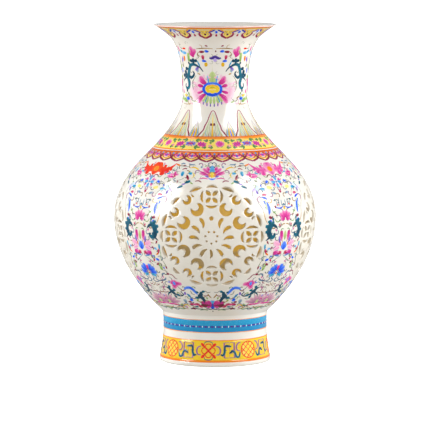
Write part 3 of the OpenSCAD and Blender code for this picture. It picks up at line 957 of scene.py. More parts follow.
# %% The yellow flower band
art = Painter()
art.band(223.9, 234.4, "lemon", 0.22, 60)
art.band(223.2, 224.6, "orange", 0.3, 60, 0.09)
for side in art.sides():
    for turn, z, a, long, wide in ((4.6, 233, 4, 7, 2.6), (4.6, 226.6, -4, 7, 2.6),
            (18, 232.8, 172, 5, 2.6), (17, 226.6, 184, 5, 2.2), (23.5, 226.4, 178, 5.4, 2.2),
            (25, 233, 178, 6, 2.6), (19.6, 230.6, 24, 4.4, 2), (27, 227.4, 10, 4, 2),
            (7.6, 228.4, 200, 3.4, 1.6)):
        for bend, lean in ((0.1, 0), (-0.1, 38), (0.1, -38)):
            petal(art.at(turn, z), 0, 0, a + lean, long * (0.6 if lean else 1), wide * 1.15, "leaf",
                (1, 0.9), LEAF, bend)
    for x in (-1.6, 1.6):
        art.at(12 + x, 229.4 - x * 0.2)
        blossom(art, 3.7, "rose", "violet", 6, 90, (0.9, 0.45), 0.6)
    art.at(20.6, 227.8)
    blossom(art, 2.4, "rose", "white", 5, 90, (0.6, 0.4))
    art.at(30, 229.8)  # this flower is shared with the next repeat
    for a in (90, 125, 55, 235, 270, 305) if side > 0 else (20, -20, 0):
        petal(art, 0, 0, a, 4.2, 3.2, "rose", (0.7, 0.35))
    if side > 0:
        for a in (0, 20, -20):
            petal(art, 0, 0, a, 5, 3.2, "rose", (0.7, 0.35))
        art.dot(0, 0, 1.3, "crimson", 0.4, 0.8, 0.3)
for x in (-1.8, 1.8):
    blossom(art.at(x, 230), 3.9, "violet", "crimson", 8, 90, (0.75, 0.4))
for a in (168, 12, 196, 344):
    petal(art.at(0, 230), 0, 0, a, 6.6, 1.8, "cobalt", (0.6, 0.6))
art.dot(0, 0, 1.7, "crimson", 0.5, 0.8, 0.36)
art.finished("shoulder_flower_band", 6, start=-23.4)

# %% Overlapping scales
art = Painter()
span = 360 / 28
half = span / 2
art.band(220.5, 222.6, "orange", 0.75, span, 0.12)
art.band(216.8, 221.2, "orange", 0.05, span, 0.05)
art.trace([(-half, 218.4), (-half * 0.8, 216.6), (0, 215.2), (half * 0.8, 216.6), (half, 218.4)],
    (3.4, 3.2, 3, 3.2, 3.4), "lemon", (0.2, 0.5, 0.2), rise=0.09)
for side in art.sides():
    art.trace([(half * 1.7, 221), (half * 1.26, 217.9), (half * 0.7, 215), (0, 213)],
        (2.4, 2.9, 2.9, 2.2), "maroon", (0.3, 0.6, 0.4))
    art.trace([(half * 0.95, 221), (half * 0.74, 218.2), (half * 0.4, 216.2), (0, 215.6)],
        (1.9, 2.1, 1.8, 1.5), "crimson", (0.6, 0.5))
    art.trace([(half * 0.86, 216.6), (half * 0.46, 215.3), (0, 214.7)], (0.6, 0.8, 0.6), "lemon",
        (0.4, 0.2), rise=0.24)
    petal(art.at(0, 218.2), 0, 0, 168, 5, 3.8, "rose", (0.8, 0.4))
    art.trace([(half * 0.5, 221), (half * 0.36, 219.4)], (1.3, 0.9), "maroon", (0.9, 0.8))
art.at(0, 218.2).dot(0, 0, 1.9, "violet", 0.7, 1, 0.3).dot(0, 1.9, 1.2, "sky", 0.4, 1.2, 0.32)
art.at(half, 220.2).dot(0, 0, 1.5, "sky", 0.9, 0.8, 0.28).dot(0, -2.2, 1.2, "maroon", 0.9, 1.4,
    0.26)
art.finished("shoulder_scale_border", 28, start=8)

# %% [markdown]
# ## The garlands of the belly
# The belly is painted between its medallions with lotus flowers on winding
# leaves. Everything is the same on both sides of a middle line, so we paint
# one half, mirror it, add what stands on the line and repeat that round the
# vase for each medallion.

# %% The chain of flowers between two medallions
art = Painter()
lines(art, "sepia_line", 0.6, [(1.5, 116.5), (4, 114.5), (6.6, 111.5), (9.4, 110.4)],
    [(8, 117), (10.6, 114), (12.4, 108), (14.4, 103.5), (17.4, 98)],
    [(2, 186), (5, 190.5), (9, 193), (12.5, 192), (14, 188.6)],
    [(9, 180), (11, 184), (14.6, 186), (17.5, 184)], [(14.4, 163), (15.6, 168), (17.4, 173),
    (18.4, 178)], [(12.6, 118), (14.6, 112), (16, 107.4)], [(16, 190), (19, 186), (20.4, 181),
    (19.6, 177)], [(3, 112), (5.4, 109.6), (6.4, 107)])
lines(art, "leaf", 0.8, [(6, 157), (6.9, 161.5), (8.6, 162.4)],
    [(3.6, 154), (6.2, 152.8), (7.6, 156)], [(12.9, 131), (13.8, 121), (13.2, 113)],
    tints=(0.8, 0.5))
lines(art, "gilding", 0.9, [(12.7, 151.5), (14, 157), (14.8, 163.6)],
    [(0.3, 150.6), (1.8, 150.4), (2.7, 148.8)], [(5.6, 134), (7.6, 131.6), (10, 131.2)])
touches(art, {
    "rose": ((2, 193.4, 48, 3.4, 2.2), (2, 190.6, -48, 3.4, 2.2), (18.4, 197.4, 168, 7, 3.4),
             (0.3, 156.6, 74, 6.6, 4), (0.6, 155.6, 44, 7.2, 4.2), (0.4, 155.2, 6, 5.4, 3.6)),
    "violet": ((2.4, 196.4, 120, 2.4, 1.4), (3.4, 131, 78, 6.4, 2.4), (16.8, 181.2, 80, 4.2, 2)),
    "slate": ((3.7, 181, 12, 4.6, 2.2),),
    "cobalt": ((9.2, 191.8, 150, 3.8, 2.6), (11.9, 113.4, 160, 3.8, 2.4),
               (0.7, 100.6, 66, 8.2, 4.6), (1, 100, 36, 8.6, 4.8), (1.2, 99.4, 6, 8, 4.4)),
    "crimson": ((14.2, 180.4, 175, 4.4, 2.2), (3.9, 148.2, 60, 2.6, 1.8), (12.2, 120.6, 72, 5, 2),
                (7.5, 112, 60, 3.2, 2)),
    "turquoise": ((14.8, 186.6, 190, 5.4, 3), (13.3, 124.6, 84, 5.4, 2), (1, 98.8, -26, 6.6, 3.6),
                  (12.2, 200.6, 20, 3.6, 1.8)),
    "sepia_line": ((14.6, 192.8, 30, 3.6, 1.8), (7.6, 115, 120, 4, 2)),
    "maroon": ((6.4, 166.6, 80, 2.4, 2), (9.4, 156.8, 24, 3.8, 2.6), (11.4, 130.6, 60, 3.4, 1.8),
               (9, 108.4, 30, 3.6, 2.2), (15.9, 104.4, 100, 3.4, 1.8), (14.4, 98.9, 10, 2.8, 2.2)),
    "teal": ((11.8, 148, 20, 3.6, 3.2), (12, 143.5, -10, 3.2, 2.8), (8.7, 153.8, 84, 3.2, 2.2),
             (10.6, 151, 60, 3.8, 3.4)),
    "sky": ((9.9, 126.4, -30, 3, 2.4),),
    "orange": ((10.6, 119, 40, 3.6, 1.8),),
    "leaf": ((12.2, 102.8, 104, 4.4, 3), (10.9, 106.6, 80, 3.6, 1.8))})
touches(art, {
    "rose": ((2.3, 132.8, 84, 9.6, 3.8), (2.9, 121.2, -6, 6.8, 4.4)),
    "crimson": ((1, 121.4, -20, 5, 4),),
    "violet": ((2.2, 118.4, 8, 5, 2),),
    "orange": ((2.6, 127.4, 80, 4.2, 1.5),)}, (0.3, 0.95))
touches(art, {
    "rose": ((3.3, 129, 20, 7.6, 5.6), (3.3, 126.4, -16, 6.6, 4.2))}, (0.3, 0.12))
touches(art, {
    "lemon": ((5.6, 186.6, 8, 5.4, 3.2),),
    "leaf": ((12.6, 165.4, 88, 9, 2.6, 0.1),)}, (0.1, 0))
art.trace([(0.6, 195.2), (2.2, 198.8), (4.6, 199), (6, 196.8)], (0.9, 1.5, 1.5, 0.7), "maroon",
    (0.4, 0.8))
art.trace([(0.6, 168.2), (3.2, 166.4), (6.2, 167.4)], (0.9, 1.8, 0.8), "cobalt", (0.9, 0.6))
for turn, top in ((1.3, 174.6), (3.1, 176), (4.9, 173.6)):
    art.trace([(turn, 168.6), (turn + 0.3, (168.6 + top) / 2), (turn, top)], (0.6, 1.3, 0.9),
        "slate", (0.9, 0.5))
art.at(4.3, 170).dot(0, 0, 1, "iron_red", 0.5)
art.trace([(13.8, 174.6), (11.9, 170.6), (11, 165.6), (11.3, 160.4)], (1.4, 5, 4.8, 3.2, 0.4),
    "cobalt", (0.6, 0.5))
art.trace([(11, 171.6), (9.9, 167), (10.2, 162)], (0.5, 1.8, 0.6), "sky", (0.2, 0.1), rise=0.28)
art.trace([(15.2, 178.6), (12.9, 177.4), (11.2, 175.8)], (1.2, 2.7, 1), "cobalt", (0.6, 0.7))
art.trace([(8.4, 153.8), (9.4, 151), (11, 148.6), (11.6, 145), (11.5, 141), (10.5, 138.2),
    (8.8, 137.6), (7.8, 139.6), (8.4, 141.6)], (1.8, 6.2, 7.2, 6.2, 6.2, 5.8, 4.6, 3.4, 2), "teal",
    (0.5, 0.6, 0.9, 0.5, 0.9))
art.trace([(9.6, 150.4), (7.8, 149.2), (6.4, 147.4), (5.8, 145.4)], (4.6, 3.4, 2, 0.5), "teal",
    (0.8, 1))
art.trace([(10.8, 138.2), (12.2, 135.8), (13.4, 134.2)], (3.4, 2, 0.6), "teal", (0.9, 1))
lines(art, "turquoise", 1.1, [(1.4, 117), (4.2, 117.6), (6.6, 119)])
lines(art, "slate", 1.2, [(1.2, 97), (2.5, 94), (0.8, 91.6), (3, 89.4), (6, 90.4)],
    [(5.4, 95.4), (3.8, 92.8), (6, 91), (9.4, 91.4)], tints=(0.8, 1))
lines(art, "slate", 1.9, [(7.4, 91.2), (9.6, 91.8), (11.8, 92.8), (13, 95)],
    [(10.4, 95.6), (11.2, 98.8), (13.4, 99.5)], tints=(0.9, 0.7))
lines(art, "maroon", 1.1, [(16.4, 99.4), (18.4, 98.4), (19.9, 95.4), (21.4, 94)],
    [(2.2, 87.2), (3.6, 86.2), (4.8, 87.4)], [(7.8, 93.4), (8.8, 90), (6.8, 88.4)],
    tints=(0.4, 0.6))
curls(art, ((16.8, 206, 200, 4, 230, "sepia_line", 0.6), (17.4, 194, 160, 3.2, -220, "leaf", 0.6),
    (7.6, 102.6, -60, 3, -200, "sepia_line", 0.7), (14.4, 118, -110, 2.6, 210, "sepia_line", 0.7),
    (13, 109, -80, 2.6, 230, "leaf", 0.8), (4.6, 109.4, 200, 2.6, 220, "sepia_line", 0.7)))
art.mirrored()
touches(art, {
    "sky": ((0, 193.4, 90, 4.8, 3.2), (0, 191, -90, 4.4, 3.2), (0.9, 192.2, 0, 4.6, 3.2),
            (-0.9, 192.2, 180, 4.6, 3.2)),
    "crimson": ((0, 181.4, 90, 2.4, 2.6),),
    "rose": ((0, 102, 90, 5, 4),)}, (0.95, 0.5))
touches(art, {
    "turquoise": ((0, 164.6, 90, 5.2, 1.3),),
    "leaf": ((0, 134, 90, 8.4, 3.6),)}, (0.6, 0.1), LEAF)
art.trace([(0, 123.6), (0, 127), (0, 129.6), (0, 132.4)], (2, 7.6, 8.4, 6, 1.8), "cobalt",
    (0.6, 0.3))
art.trace([(-2.4, 98.4), (-1.6, 100.8), (0, 101.9), (1.6, 100.8), (2.4, 98.4)],
    (0.8, 1.7, 1.9, 1.7, 0.8), "lemon", (0.7, 0.9, 0.7), rise=0.3)
art.at(0, 166.9).dot(0, 0, 1.6, "lemon", 0.9, 1.1, 0.3)
art.at(0, 192.2).dot(0, 0, 1, "cobalt", 1, 1, 0.34)
art.at(0, 98.8).dot(0, 0, 1.3, "orange", 0.6, 1, 0.3)
art.finished("belly_flower_chain", 4, start=-45)

# %% Bats above the chains
# Bats stand for good fortune. Two are coral red and two are rose pink.
def bat(name, enamel_name, start):
    """Two bats of one enamel, on opposite sides of the vase."""
    art = Painter()
    art.trace([(3, 205), (8, 203.8), (11.6, 205.2), (14.2, 207.6), (16.8, 211)],
        (8.5, 7.4, 5.8, 3, 0.4), enamel_name, (0.45, 0.6))
    touches(art, {
        enamel_name: ((7, 203.8, -76, 5.8, 5.6), (7.2, 204.6, 84, 5, 3.2),
                      (10.6, 204.8, -70, 4.4, 4.4), (12.8, 206, -50, 3.2, 2.6))}, (0.5, 0.6))
    art.mirrored()
    art.trace([(0, 198.8), (0, 203), (0, 207), (0, 210.9)], (2.4, 11.5, 15.4, 15, 7.4), enamel_name,
        (0.5, 0.35, 0.5), rise=0.26)
    art.at(0, 204.8).dot(0, 0, 4.2, "orange", 0.35, 0.8, 0.3)
    art.finished(name, 2, start=start)


bat("belly_coral_bats", "iron_red", -45)
bat("belly_rose_bats", "rose", 45)

# %% The crown above each medallion
art = Painter()
lines(art, "sepia_line", 0.6, [(-27.5, 197), (-25, 194.8), (-21, 195.6), (-18.6, 197.8)],
    [(-9, 203), (-11.6, 202.6), (-12.8, 199.4), (-10.6, 196.4)],
    [(-24, 207.6), (-20, 208.4), (-16.6, 207.6)], [(-31, 206), (-28, 203.4), (-25.6, 204.4)],
    [(-6, 210.6), (-3, 208.6), (-1.8, 211)], [(-20, 192.6), (-23.6, 193.6), (-26.8, 191.6)])
lines(art, "maroon", 1.5, [(-22, 205.2), (-20, 206.4), (-18.6, 205.8)],
    [(-11, 194.4), (-8.6, 195), (-6.8, 193.6)], tints=(0.3, 0.5))
lines(art, "slate", 1.7, [(-18.2, 210.8), (-16, 210), (-13.2, 210.5)],
    [(-24.6, 210.4), (-22.8, 211), (-21, 210.6)], tints=(0.9, 0.5))
touches(art, {
    "rose": ((-1.4, 201.6, 138, 8.6, 3.4), (-1.6, 200.2, 166, 9.4, 3), (-2, 204.6, 118, 4.6, 3),
             (-26.6, 200.2, 182, 6, 2.4), (-26.6, 200.2, 86, 3.4, 2.6), (-26.6, 200, 6, 3.8, 2.4)),
    "violet": ((-2.2, 198.4, 150, 3.6, 2.4), (-19.6, 191.2, 10, 3.4, 1.6)),
    "slate": ((-8, 207, 80, 2.4, 2),),
    "turquoise": ((-20.8, 198.8, 92, 5.2, 3.2), (-16.6, 201.6, 4, 3.6, 2.8),
                  (-33.2, 200.8, 4, 3.6, 1.4)),
    "maroon": ((-17.5, 200.4, -66, 5.8, 2.4),),
    "teal": ((-17.8, 192.4, 26, 5.6, 2.8), (-22.2, 187.4, 26, 5.6, 2.4)),
    "crimson": ((-26.6, 200, -70, 2.6, 2.4),),
    "orange": ((-28.6, 210.2, -20, 4.8, 1.9),),
    "leaf": ((-5.6, 208.6, 20, 2.6, 1.4), (-12.2, 191.8, 150, 3.2, 1.6)),
    "gilding": ((-15.2, 196.2, 200, 2.2, 1.2),)})
touches(art, {
    "sky": ((-29.8, 189.8, -62, 5.6, 3.6),),
    "violet": ((-27.2, 187.2, -50, 4.2, 2.4),)}, (0.1, 0))
art.trace([(-8.6, 203.8), (-6, 202.6), (-3, 200.6)], (1, 2.8, 1.6), "rose", (0.6, 0.8))
art.trace([(-8.6, 196.4), (-6, 197.6), (-2.6, 196.8)], (0.8, 2.2, 1.2), "rose", (0.7, 0.5))
art.trace([(-16.4, 206.8), (-13.2, 207.6), (-9.8, 205.6)], (0.8, 2.2, 1.8), "lemon", (0.9, 0.6))
art.trace([(-13.8, 202.6), (-12.2, 200), (-13.8, 197.2)], (1, 1.8, 0.8), "lemon", (0.5, 0.3))
art.trace([(-1.6, 202.6), (-2.2, 200.4), (-1, 198.6)], (1.6, 2.6, 1.4), "orange", (0.4, 0.2))
curls(art, ((-6.4, 200, 180, 2.6, 200, "leaf", 0.6), (-23, 203.4, 150, 2.6, 220, "sepia_line", 0.6),
    (-12, 209, 120, 2.2, 240, "sepia_line", 0.5)))
art.mirrored()
art.trace([(0, 203.4), (0, 206), (0, 209.4)], (5.6, 6.2, 4.6, 1.6), "sky", (0.9, 0.6), rise=0.26)
art.trace([(0, 197.6), (0, 200.6), (0, 203.6)], (1.4, 3.4, 4.4, 3), "lemon", (0.8, 0.3), rise=0.24)
art.trace([(-2, 203.4), (0, 202.8), (2, 203.4)], (0.8, 1.4, 0.8), "leaf", (0.9, 0.9), rise=0.34)
art.trace([(-2.4, 197.2), (0, 196.4), (2.4, 197.2)], (1, 2.2, 1), "cobalt", (0.5, 0.5))
art.finished("medallion_crowns", 4, start=0)

# %% The garland under each medallion
art = Painter()
lines(art, "leaf", 1.5, [(-45, 59.6), (-41, 60.8), (-37, 60)],
    [(-34, 61.4), (-30, 60.2), (-26, 61.2)], [(-12, 59.8), (-8, 60.6), (-4.6, 59.8)],
    tints=(1, 0.8))
lines(art, "gilding", 1.3, [(-36, 61.6), (-31, 62.8), (-27, 61.4), (-23, 60.4)],
    [(-45, 62.4), (-41, 61.6), (-38.6, 63)], [(-3.4, 78.8), (-2.4, 76.4), (-0.9, 74.2)],
    [(-12.6, 71.8), (-10.6, 69.4), (-8, 70.4)])
lines(art, "teal", 1.5, [(-21, 61.4), (-17, 62.2), (-14, 61.2), (-9, 61.2)],
    [(-24.4, 80.4), (-22.6, 77.4), (-24.6, 75.4), (-27.6, 75.2)],
    [(-33, 63.4), (-29, 64.6), (-25.4, 63)], [(-6, 62), (-3, 61), (0.4, 61.6)],
    [(-43, 60.2), (-38, 60.8), (-33, 60.2)], tints=(0.8, 1))
lines(art, "maroon", 1.1, [(-6.8, 76.8), (-4.4, 76.4), (-3, 77.6)],
    [(-44.8, 77.6), (-41, 78.4), (-37.6, 78.4), (-35, 79.6)], [(-16, 73.6), (-14.4, 72.8),
    (-12.8, 73.8)], [(-21, 60.6), (-18.6, 61), (-16, 60.2)], [(-23.6, 82.6), (-21.6, 81.4),
    (-20.8, 83)], [(-10.8, 69.8), (-9.4, 68.6), (-8, 69.4)], tints=(0.5, 0.8))
lines(art, "sepia_line", 0.8, [(-26, 88), (-24, 84), (-22.6, 82.4), (-23.6, 79.6)],
    [(-16, 82), (-15.4, 78.4), (-13.2, 77.6)], [(-31, 73.4), (-28.6, 72), (-26, 73)],
    [(-41, 85), (-38, 83), (-39, 80.6)], [(-43, 73), (-40, 74.4), (-36.6, 73.4)],
    [(-5.6, 82.4), (-3.6, 80.4), (-1.2, 80.8)], tints=(0.8, 0.9))
touches(art, {
    "rose": ((-27, 89.3, -2, 7.4, 4.4), (-27, 89.3, -104, 6.4, 4.6), (-27, 89.3, 172, 4.2, 4),
             (-27, 89.3, 112, 4, 3.8), (-27, 89.3, -50, 4.4, 4), (-27, 89.3, 55, 4, 3.6),
             (-17.6, 67.2, -24, 4.4, 2.8), (-43.8, 70.6, 30, 4, 2.4)),
    "teal": ((-32.8, 83.4, 70, 3.6, 3), (-30.6, 80.6, 32, 3.6, 2.8), (-29.4, 76.6, -8, 4.4, 2.8),
             (-31, 76, -62, 3.6, 2.6), (-10.2, 79.6, 150, 3.2, 2.4), (-7.8, 80, 42, 3.4, 2.8),
             (-10.6, 74.8, 200, 3.4, 3.2), (-16, 63.4, 10, 3.4, 2.2), (-6.8, 63, 30, 3, 1.8)),
    "violet": ((-20.6, 80.4, -104, 4, 2.2),),
    "cobalt": ((-17.2, 73.6, -88, 4.2, 3.4),),
    "slate": ((-22.9, 67.8, 94, 4.8, 3.6),),
    "maroon": ((-20.6, 69, 4, 3.2, 2.4), (-19.4, 61.4, 0, 4, 1.3)),
    "crimson": ((-20.4, 66, 14, 5, 3.4), (-15.4, 66.8, -8, 4.6, 3.4), (-12.2, 65.6, -40, 4.4, 3.4),
                (-36.6, 64.4, 8, 6, 1.6)),
    "leaf": ((-25.4, 78.2, 150, 3.2, 1.6), (-12.4, 70.2, 80, 2.8, 2), (-4, 72.6, 100, 2.8, 1.8),
             (-29.6, 65, 20, 3.4, 1.8))})
art.at(-27, 89.3).dot(0, 0, 2.4, "cobalt", 0.3, 1, 0.32)
art.trace([(-34.8, 84.4), (-33, 83), (-31.8, 80.4), (-30.4, 77.8), (-28.2, 76.2)],
    (1.8, 3.8, 5.2, 4.8, 1.2), "teal", (0.7, 0.9))
art.trace([(-31.6, 80), (-33.8, 78.6), (-36.4, 76.4), (-37.2, 74.4)], (3.6, 2.2, 1.4, 0.5), "teal",
    (0.9, 0.8))
art.trace([(-20.6, 83.2), (-18.6, 84.8), (-16, 85.2), (-13.8, 83), (-12.3, 80), (-11.2, 77.8)],
    (1.6, 4, 4.4, 4, 3.4, 1), "cobalt", (0.3, 0.5, 0.3))
art.trace([(-19.8, 78.2), (-18.2, 76.6), (-17.2, 73.8)], (1.2, 2.8, 1.4), "turquoise", (0.9, 0.9))
art.trace([(-8.2, 81.2), (-8.6, 78), (-9.4, 75.8), (-7.6, 73.4), (-6.7, 70.6), (-6.9, 68)],
    (2, 5, 6.4, 4.4, 3, 1.2), "teal", (0.8, 1))
art.trace([(-27.8, 62.8), (-25, 65.6), (-22.4, 65.2), (-20.6, 63.2)], (0.9, 2, 2, 0.9), "lemon",
    (0.95, 0.8))
art.trace([(-26.8, 65.6), (-23.4, 67.2), (-20.8, 66.4)], (0.6, 1.1, 0.6), "violet", (1, 1))
art.at(-39.4, 66.4)
for k, long in enumerate((12.5, 12, 12.5, 12.5, 12.5, 12, 12.5)):
    a = 160 - 23.5 * k
    petal(art, 2.4 * cos(radians(a)), 1.2 * sin(radians(a)), a, long, 4.6, "mauve_wash", (1, 0.2))
    petal(art, 3.4 * cos(radians(a + 8)), 1.6 * sin(radians(a + 8)), a + 8, long * 0.8, 1.6, "rose",
        (0.9, 0.3), LEAF)
art.stroke([(-8, -0.6), (0, -1.6), (8, -0.6)], (1.2, 3.2, 1.2), "rose", (0.4, 0.7, 0.4))
art.dot(0, 2.6, 2.4, "leaf", 0.2, 1.1, 0.32)
curls(art, ((-36, 88, 190, 3, 230, "sepia_line", 0.8), (-22, 73, 120, 2.4, -230, "sepia_line", 0.7),
    (-5, 73.6, 40, 2, 200, "gilding", 0.7), (-41.6, 80.6, 150, 2.6, -220, "sepia_line", 0.7),
    (-28.4, 60.6, 10, 2, 200, "gilding", 0.8), (-12, 63.6, 190, 1.6, -220, "gilding", 0.7)))
art.mirrored()
touches(art, {
    "maroon": ((0, 65.4, 178, 9.8, 6), (0, 65.4, 2, 9.8, 6)),
    "rose": ((0, 66.6, 164, 10.2, 5.2), (0, 66.6, 16, 10.2, 5.2))}, (0.6, 0.9))
touches(art, {
    "rose": ((0, 66.6, 142, 6.6, 4.8), (0, 66.6, 38, 6.6, 4.8), (0, 66.4, -145, 6.4, 4),
             (0, 66.4, -35, 6.4, 4)),
    "sky": ((0, 66.8, 90, 5.2, 4.4),),
    "cobalt": ((0, 66, -90, 4.8, 3.6),)}, (1, 0.6))
art.at(0, 66.4).dot(0, 0, 1.7, "cobalt", 1, 1, 0.4).dot(0, 0, 0.5, "white", 0.1, 1, 0.5)
art.at(0, 58.8).dot(0, 0, 0.9, "sepia_line", 0.8)
art.finished("lower_belly_garland", 4, start=0)

# %% Fine scrollwork that fills the ground
# Between the flowers the painter fills the ground with curling tendrils, each
# turned by the golden angle from the last one, so that no two neighbours match.
art = Painter()
GOLDEN_ANGLE = 137.5
TENDRILS = (("sepia_line", 1.2), ("leaf", 1.2), ("slate", 1.2), ("sepia_line", 1.2),
    ("gilding", 1.2), ("mauve_wash", 1.5), ("teal", 1))
count = 0
for row, z in enumerate(range(61, 213, 7)):
    across = wall_at(length_at(z))[0]
    places = int(radians(45) * across / 8.6)
    for i in range(places):
        turn = -45 + 45 * (i + 0.25 + 0.5 * (row % 2)) / places
        count += 1
        if hypot(across * sin(radians(turn)), z - MEDALLION_Z) < MEDALLION_R + 2:
            continue
        name, width = TENDRILS[count % 7]
        sweep = 190 + 14 * (count % 5)
        curl(art.at(turn, z), 0, 0, GOLDEN_ANGLE * count, 2.7 + 0.5 * (count % 4),
            sweep if count % 2 else -sweep, name, width, (0.7, 1))
        if count % 3 == 0:
            petal(art, 1.6, 1.2, GOLDEN_ANGLE * count + 60, 3.4, 1.9,
                ("leaf", "maroon", "cobalt", "rose", "teal")[count % 5], (0.8, 0.4), LEAF)
art.mirrored()
print(count, "tendrils on an eighth of the belly, less those inside the medallion")
art.finished("belly_scrollwork", 4, start=0)

# %% [markdown]
# ## The painted foot
# The foot has two colour bands. The yellow one carries lattice roundels, square
# panels with ribbons and knots of four loops in turn. The turquoise one carries
# a ring of dark lozenges with white pearls between them.

# %% The turquoise band with lozenges and pearls
art = Painter()
step = 360 / 50
art.band(41.4, 48.4, "turquoise", 0.5, step, 0.07)
art.band(35.8, 41.6, "turquoise", 0.68, step, 0.075)
art.band(35.1, 36, "orange", 0.3, step, 0.11)
art.band(48.2, 49, "orange", 0.3, step, 0.11)
art.trace([(-step / 2, 41.5), (0, 41.5), (step / 2, 41.5)], (2.4, 5, 2.4), "turquoise", (1, 1),
    rise=0.14)
art.at(0, 41.5).stroke([(-2, 0), (0, 0), (2, 0)], (0.3, 2, 2.7, 2, 0.3), "violet", (1, 1), 0.24)
art.stroke([(-0.9, 0), (0, 0), (0.9, 0)], (0.3, 1.3, 0.3), "maroon", (0.7, 0.7), 0.3)
art.at(step / 2, 41.5).dot(0, 0, 0.85, "white", 0.1, 1, 0.3)
art.finished("foot_turquoise_band", 50, start=-1)

# %% The yellow band
art = Painter()
art.band(7, 27.2, "lemon", 0.6, 90, 0.05)
art.band(4.9, 7.4, "orange", 0.42, 90, 0.09)
art.band(26.8, 28, "orange", 0.35, 90, 0.09)
for side in art.sides():  # square panels with ribbons
    for turn in (17, 28):
        art.trace([(turn, 9.4), (turn, 17), (turn, 25.2)], (2.6, 2.6), "mauve_wash", (1, 1),
                  rise=0.14)
    for z0, z1 in ((9.6, 19.4), (15, 25)):
        art.trace([(22.5, z0), (22.5, z1)], (1.4, 1.4), "mauve_wash", (1, 1), rise=0.11)
    for z, t0, t1 in ((25, 17, 22.5), (25, 23.4, 28), (9.6, 17, 21.6), (9.6, 22.5, 28),
            (20.6, 19, 22.5), (14.4, 22.5, 26), (17.4, 17, 20), (17.4, 25, 28)):
        art.trace([(t0, z), (t1, z)], (2, 2), "mauve_wash", (1, 1), rise=0.14)
    art.trace([(13, 13.2), (15.2, 12.2), (17.2, 15), (17.5, 20.4), (19.8, 21.8), (24.8, 21)],
              (1.6, 3.4, 3.4, 3.2, 3.2, 1.8), "teal", (1, 0.5, 0.9, 0.7))
    art.trace([(22.6, 13.8), (25.4, 16.2), (28.2, 15), (30, 10.8), (32.8, 10.4), (34.6, 14.8)],
              (1.6, 3.4, 3.4, 3.4, 3.4, 1.8), "teal", (1, 0.5, 0.7))
    art.trace([(8.2, 21.4), (11.2, 20.6), (12.8, 17), (11.4, 13.2), (8.2, 12.8)],
        (1.4, 2.4, 2.6, 2.4, 1.4), "mauve_wash", (1, 1))
    art.trace([(35.6, 24.6), (33, 24.4), (30.6, 21), (31.4, 17.2), (35.2, 15.8)],
        (1.3, 2.3, 2.6, 2.3, 1.3), "mauve_wash", (1, 1))
# the knot of four loops with a leaf between each pair
art.at(0, 17)
for turn in range(0, 360, 90):
    x, y = 3.8 * cos(radians(turn)), 3.8 * sin(radians(turn))
    art.stroke([(x + 3.2 * cos(radians(a)), y + 3.2 * sin(radians(a))) for a in range(0, 361, 30)],
        (1.9, 1.9), "iron_red", (0.6, 0.6), 0.22)
    petal(art, x - y, x + y, turn + 45, 5.6, 4.4, "iron_red", (0.7, 0.5), LEAF)
art.dot(0, 0, 1.6, "iron_red", 0.7)
for flare in (-1, 1):
    art.trace([(-4.4, 17 + 6.4 * flare), (-3.6, 17 + 8.6 * flare), (0, 17 + 9.3 * flare),
        (3.6, 17 + 8.6 * flare), (4.4, 17 + 6.4 * flare)], (0.8, 1.8, 1.9, 1.8, 0.8), "teal",
        (0.9, 0.5, 0.9))
# the lattice roundel
art.at(45, 17).dot(0, 0, 8.8, "lemon", 0.45, 0.98, 0.1)
art.stroke([(8.6 * cos(radians(a)), 8.4 * sin(radians(a))) for a in range(0, 361, 30)], (2.3, 2.3),
    "iron_red", (0.6, 0.6), 0.2)
DIAGONAL = 0.7071                    # the cosine and sine of 45 degrees
for offset in (-4.2, 0, 4.2):
    reach = (8.2 ** 2 - offset ** 2) ** 0.5
    for c, s in ((DIAGONAL, DIAGONAL), (DIAGONAL, -DIAGONAL)):
        art.stroke([(-reach * c - offset * s, -reach * s + offset * c),
            (reach * c - offset * s, reach * s + offset * c)], (2.2, 2.2), "iron_red", (0.55, 0.55),
            0.22)
art.finished("foot_yellow_band", 4, start=-5)

# %% [markdown]
# ## Camera, floor and light
# The vase stands in a plain white studio. The camera looks slightly down from
# about three metres, which keeps the vase's sides almost parallel. Glaze shows
# its lamps as highlights, so two tall windows are for the reflections alone,
# and low panels all round give the even light that colours need.

# %% Camera
camera = bpy.data.objects.new("camera", bpy.data.cameras.new("camera"))
bpy.context.scene.collection.objects.link(camera)
bpy.context.scene.camera = camera
side_turn, away, height = radians(2), 3.05, 0.457
aim, frame_height, film = Vector((0, 0, 0.1515)), 0.447, 36
camera.location = (away * sin(side_turn), -away * cos(side_turn), height)
camera.rotation_euler = (aim - camera.location).to_track_quat("-Z", "Y").to_euler()
camera.data.lens = film * 3.065 / frame_height   # fits the frame's height at the vase
print("camera at", [round(v, 3) for v in camera.location])

# %% Floor and backdrop
# The white paper is lit by itself, so it stays white right to the back, and it
# throws no light up under the belly. A round wall of the same paper carries it
# on past the horizon. The wall casts no shadow, so it keeps no light out.
white_paper, shader = finish("white_studio_paper", 0.8, specular=0.0)
shader.inputs["Base Color"].default_value = srgb("FFFFFF")
shader.inputs["Emission Color"].default_value = srgb("FFFFFF")
shader.inputs["Emission Strength"].default_value = 1.0


def paper(name, bm):
    """A piece of the studio, seen by the camera but not by the light."""
    mesh = bpy.data.meshes.new(name)
    bm.to_mesh(mesh)
    bm.free()
    mesh.materials.append(white_paper)
    sheet = bpy.data.objects.new(name, mesh)
    bpy.context.scene.collection.objects.link(sheet)
    sheet.visible_diffuse = sheet.visible_glossy = False
    return sheet


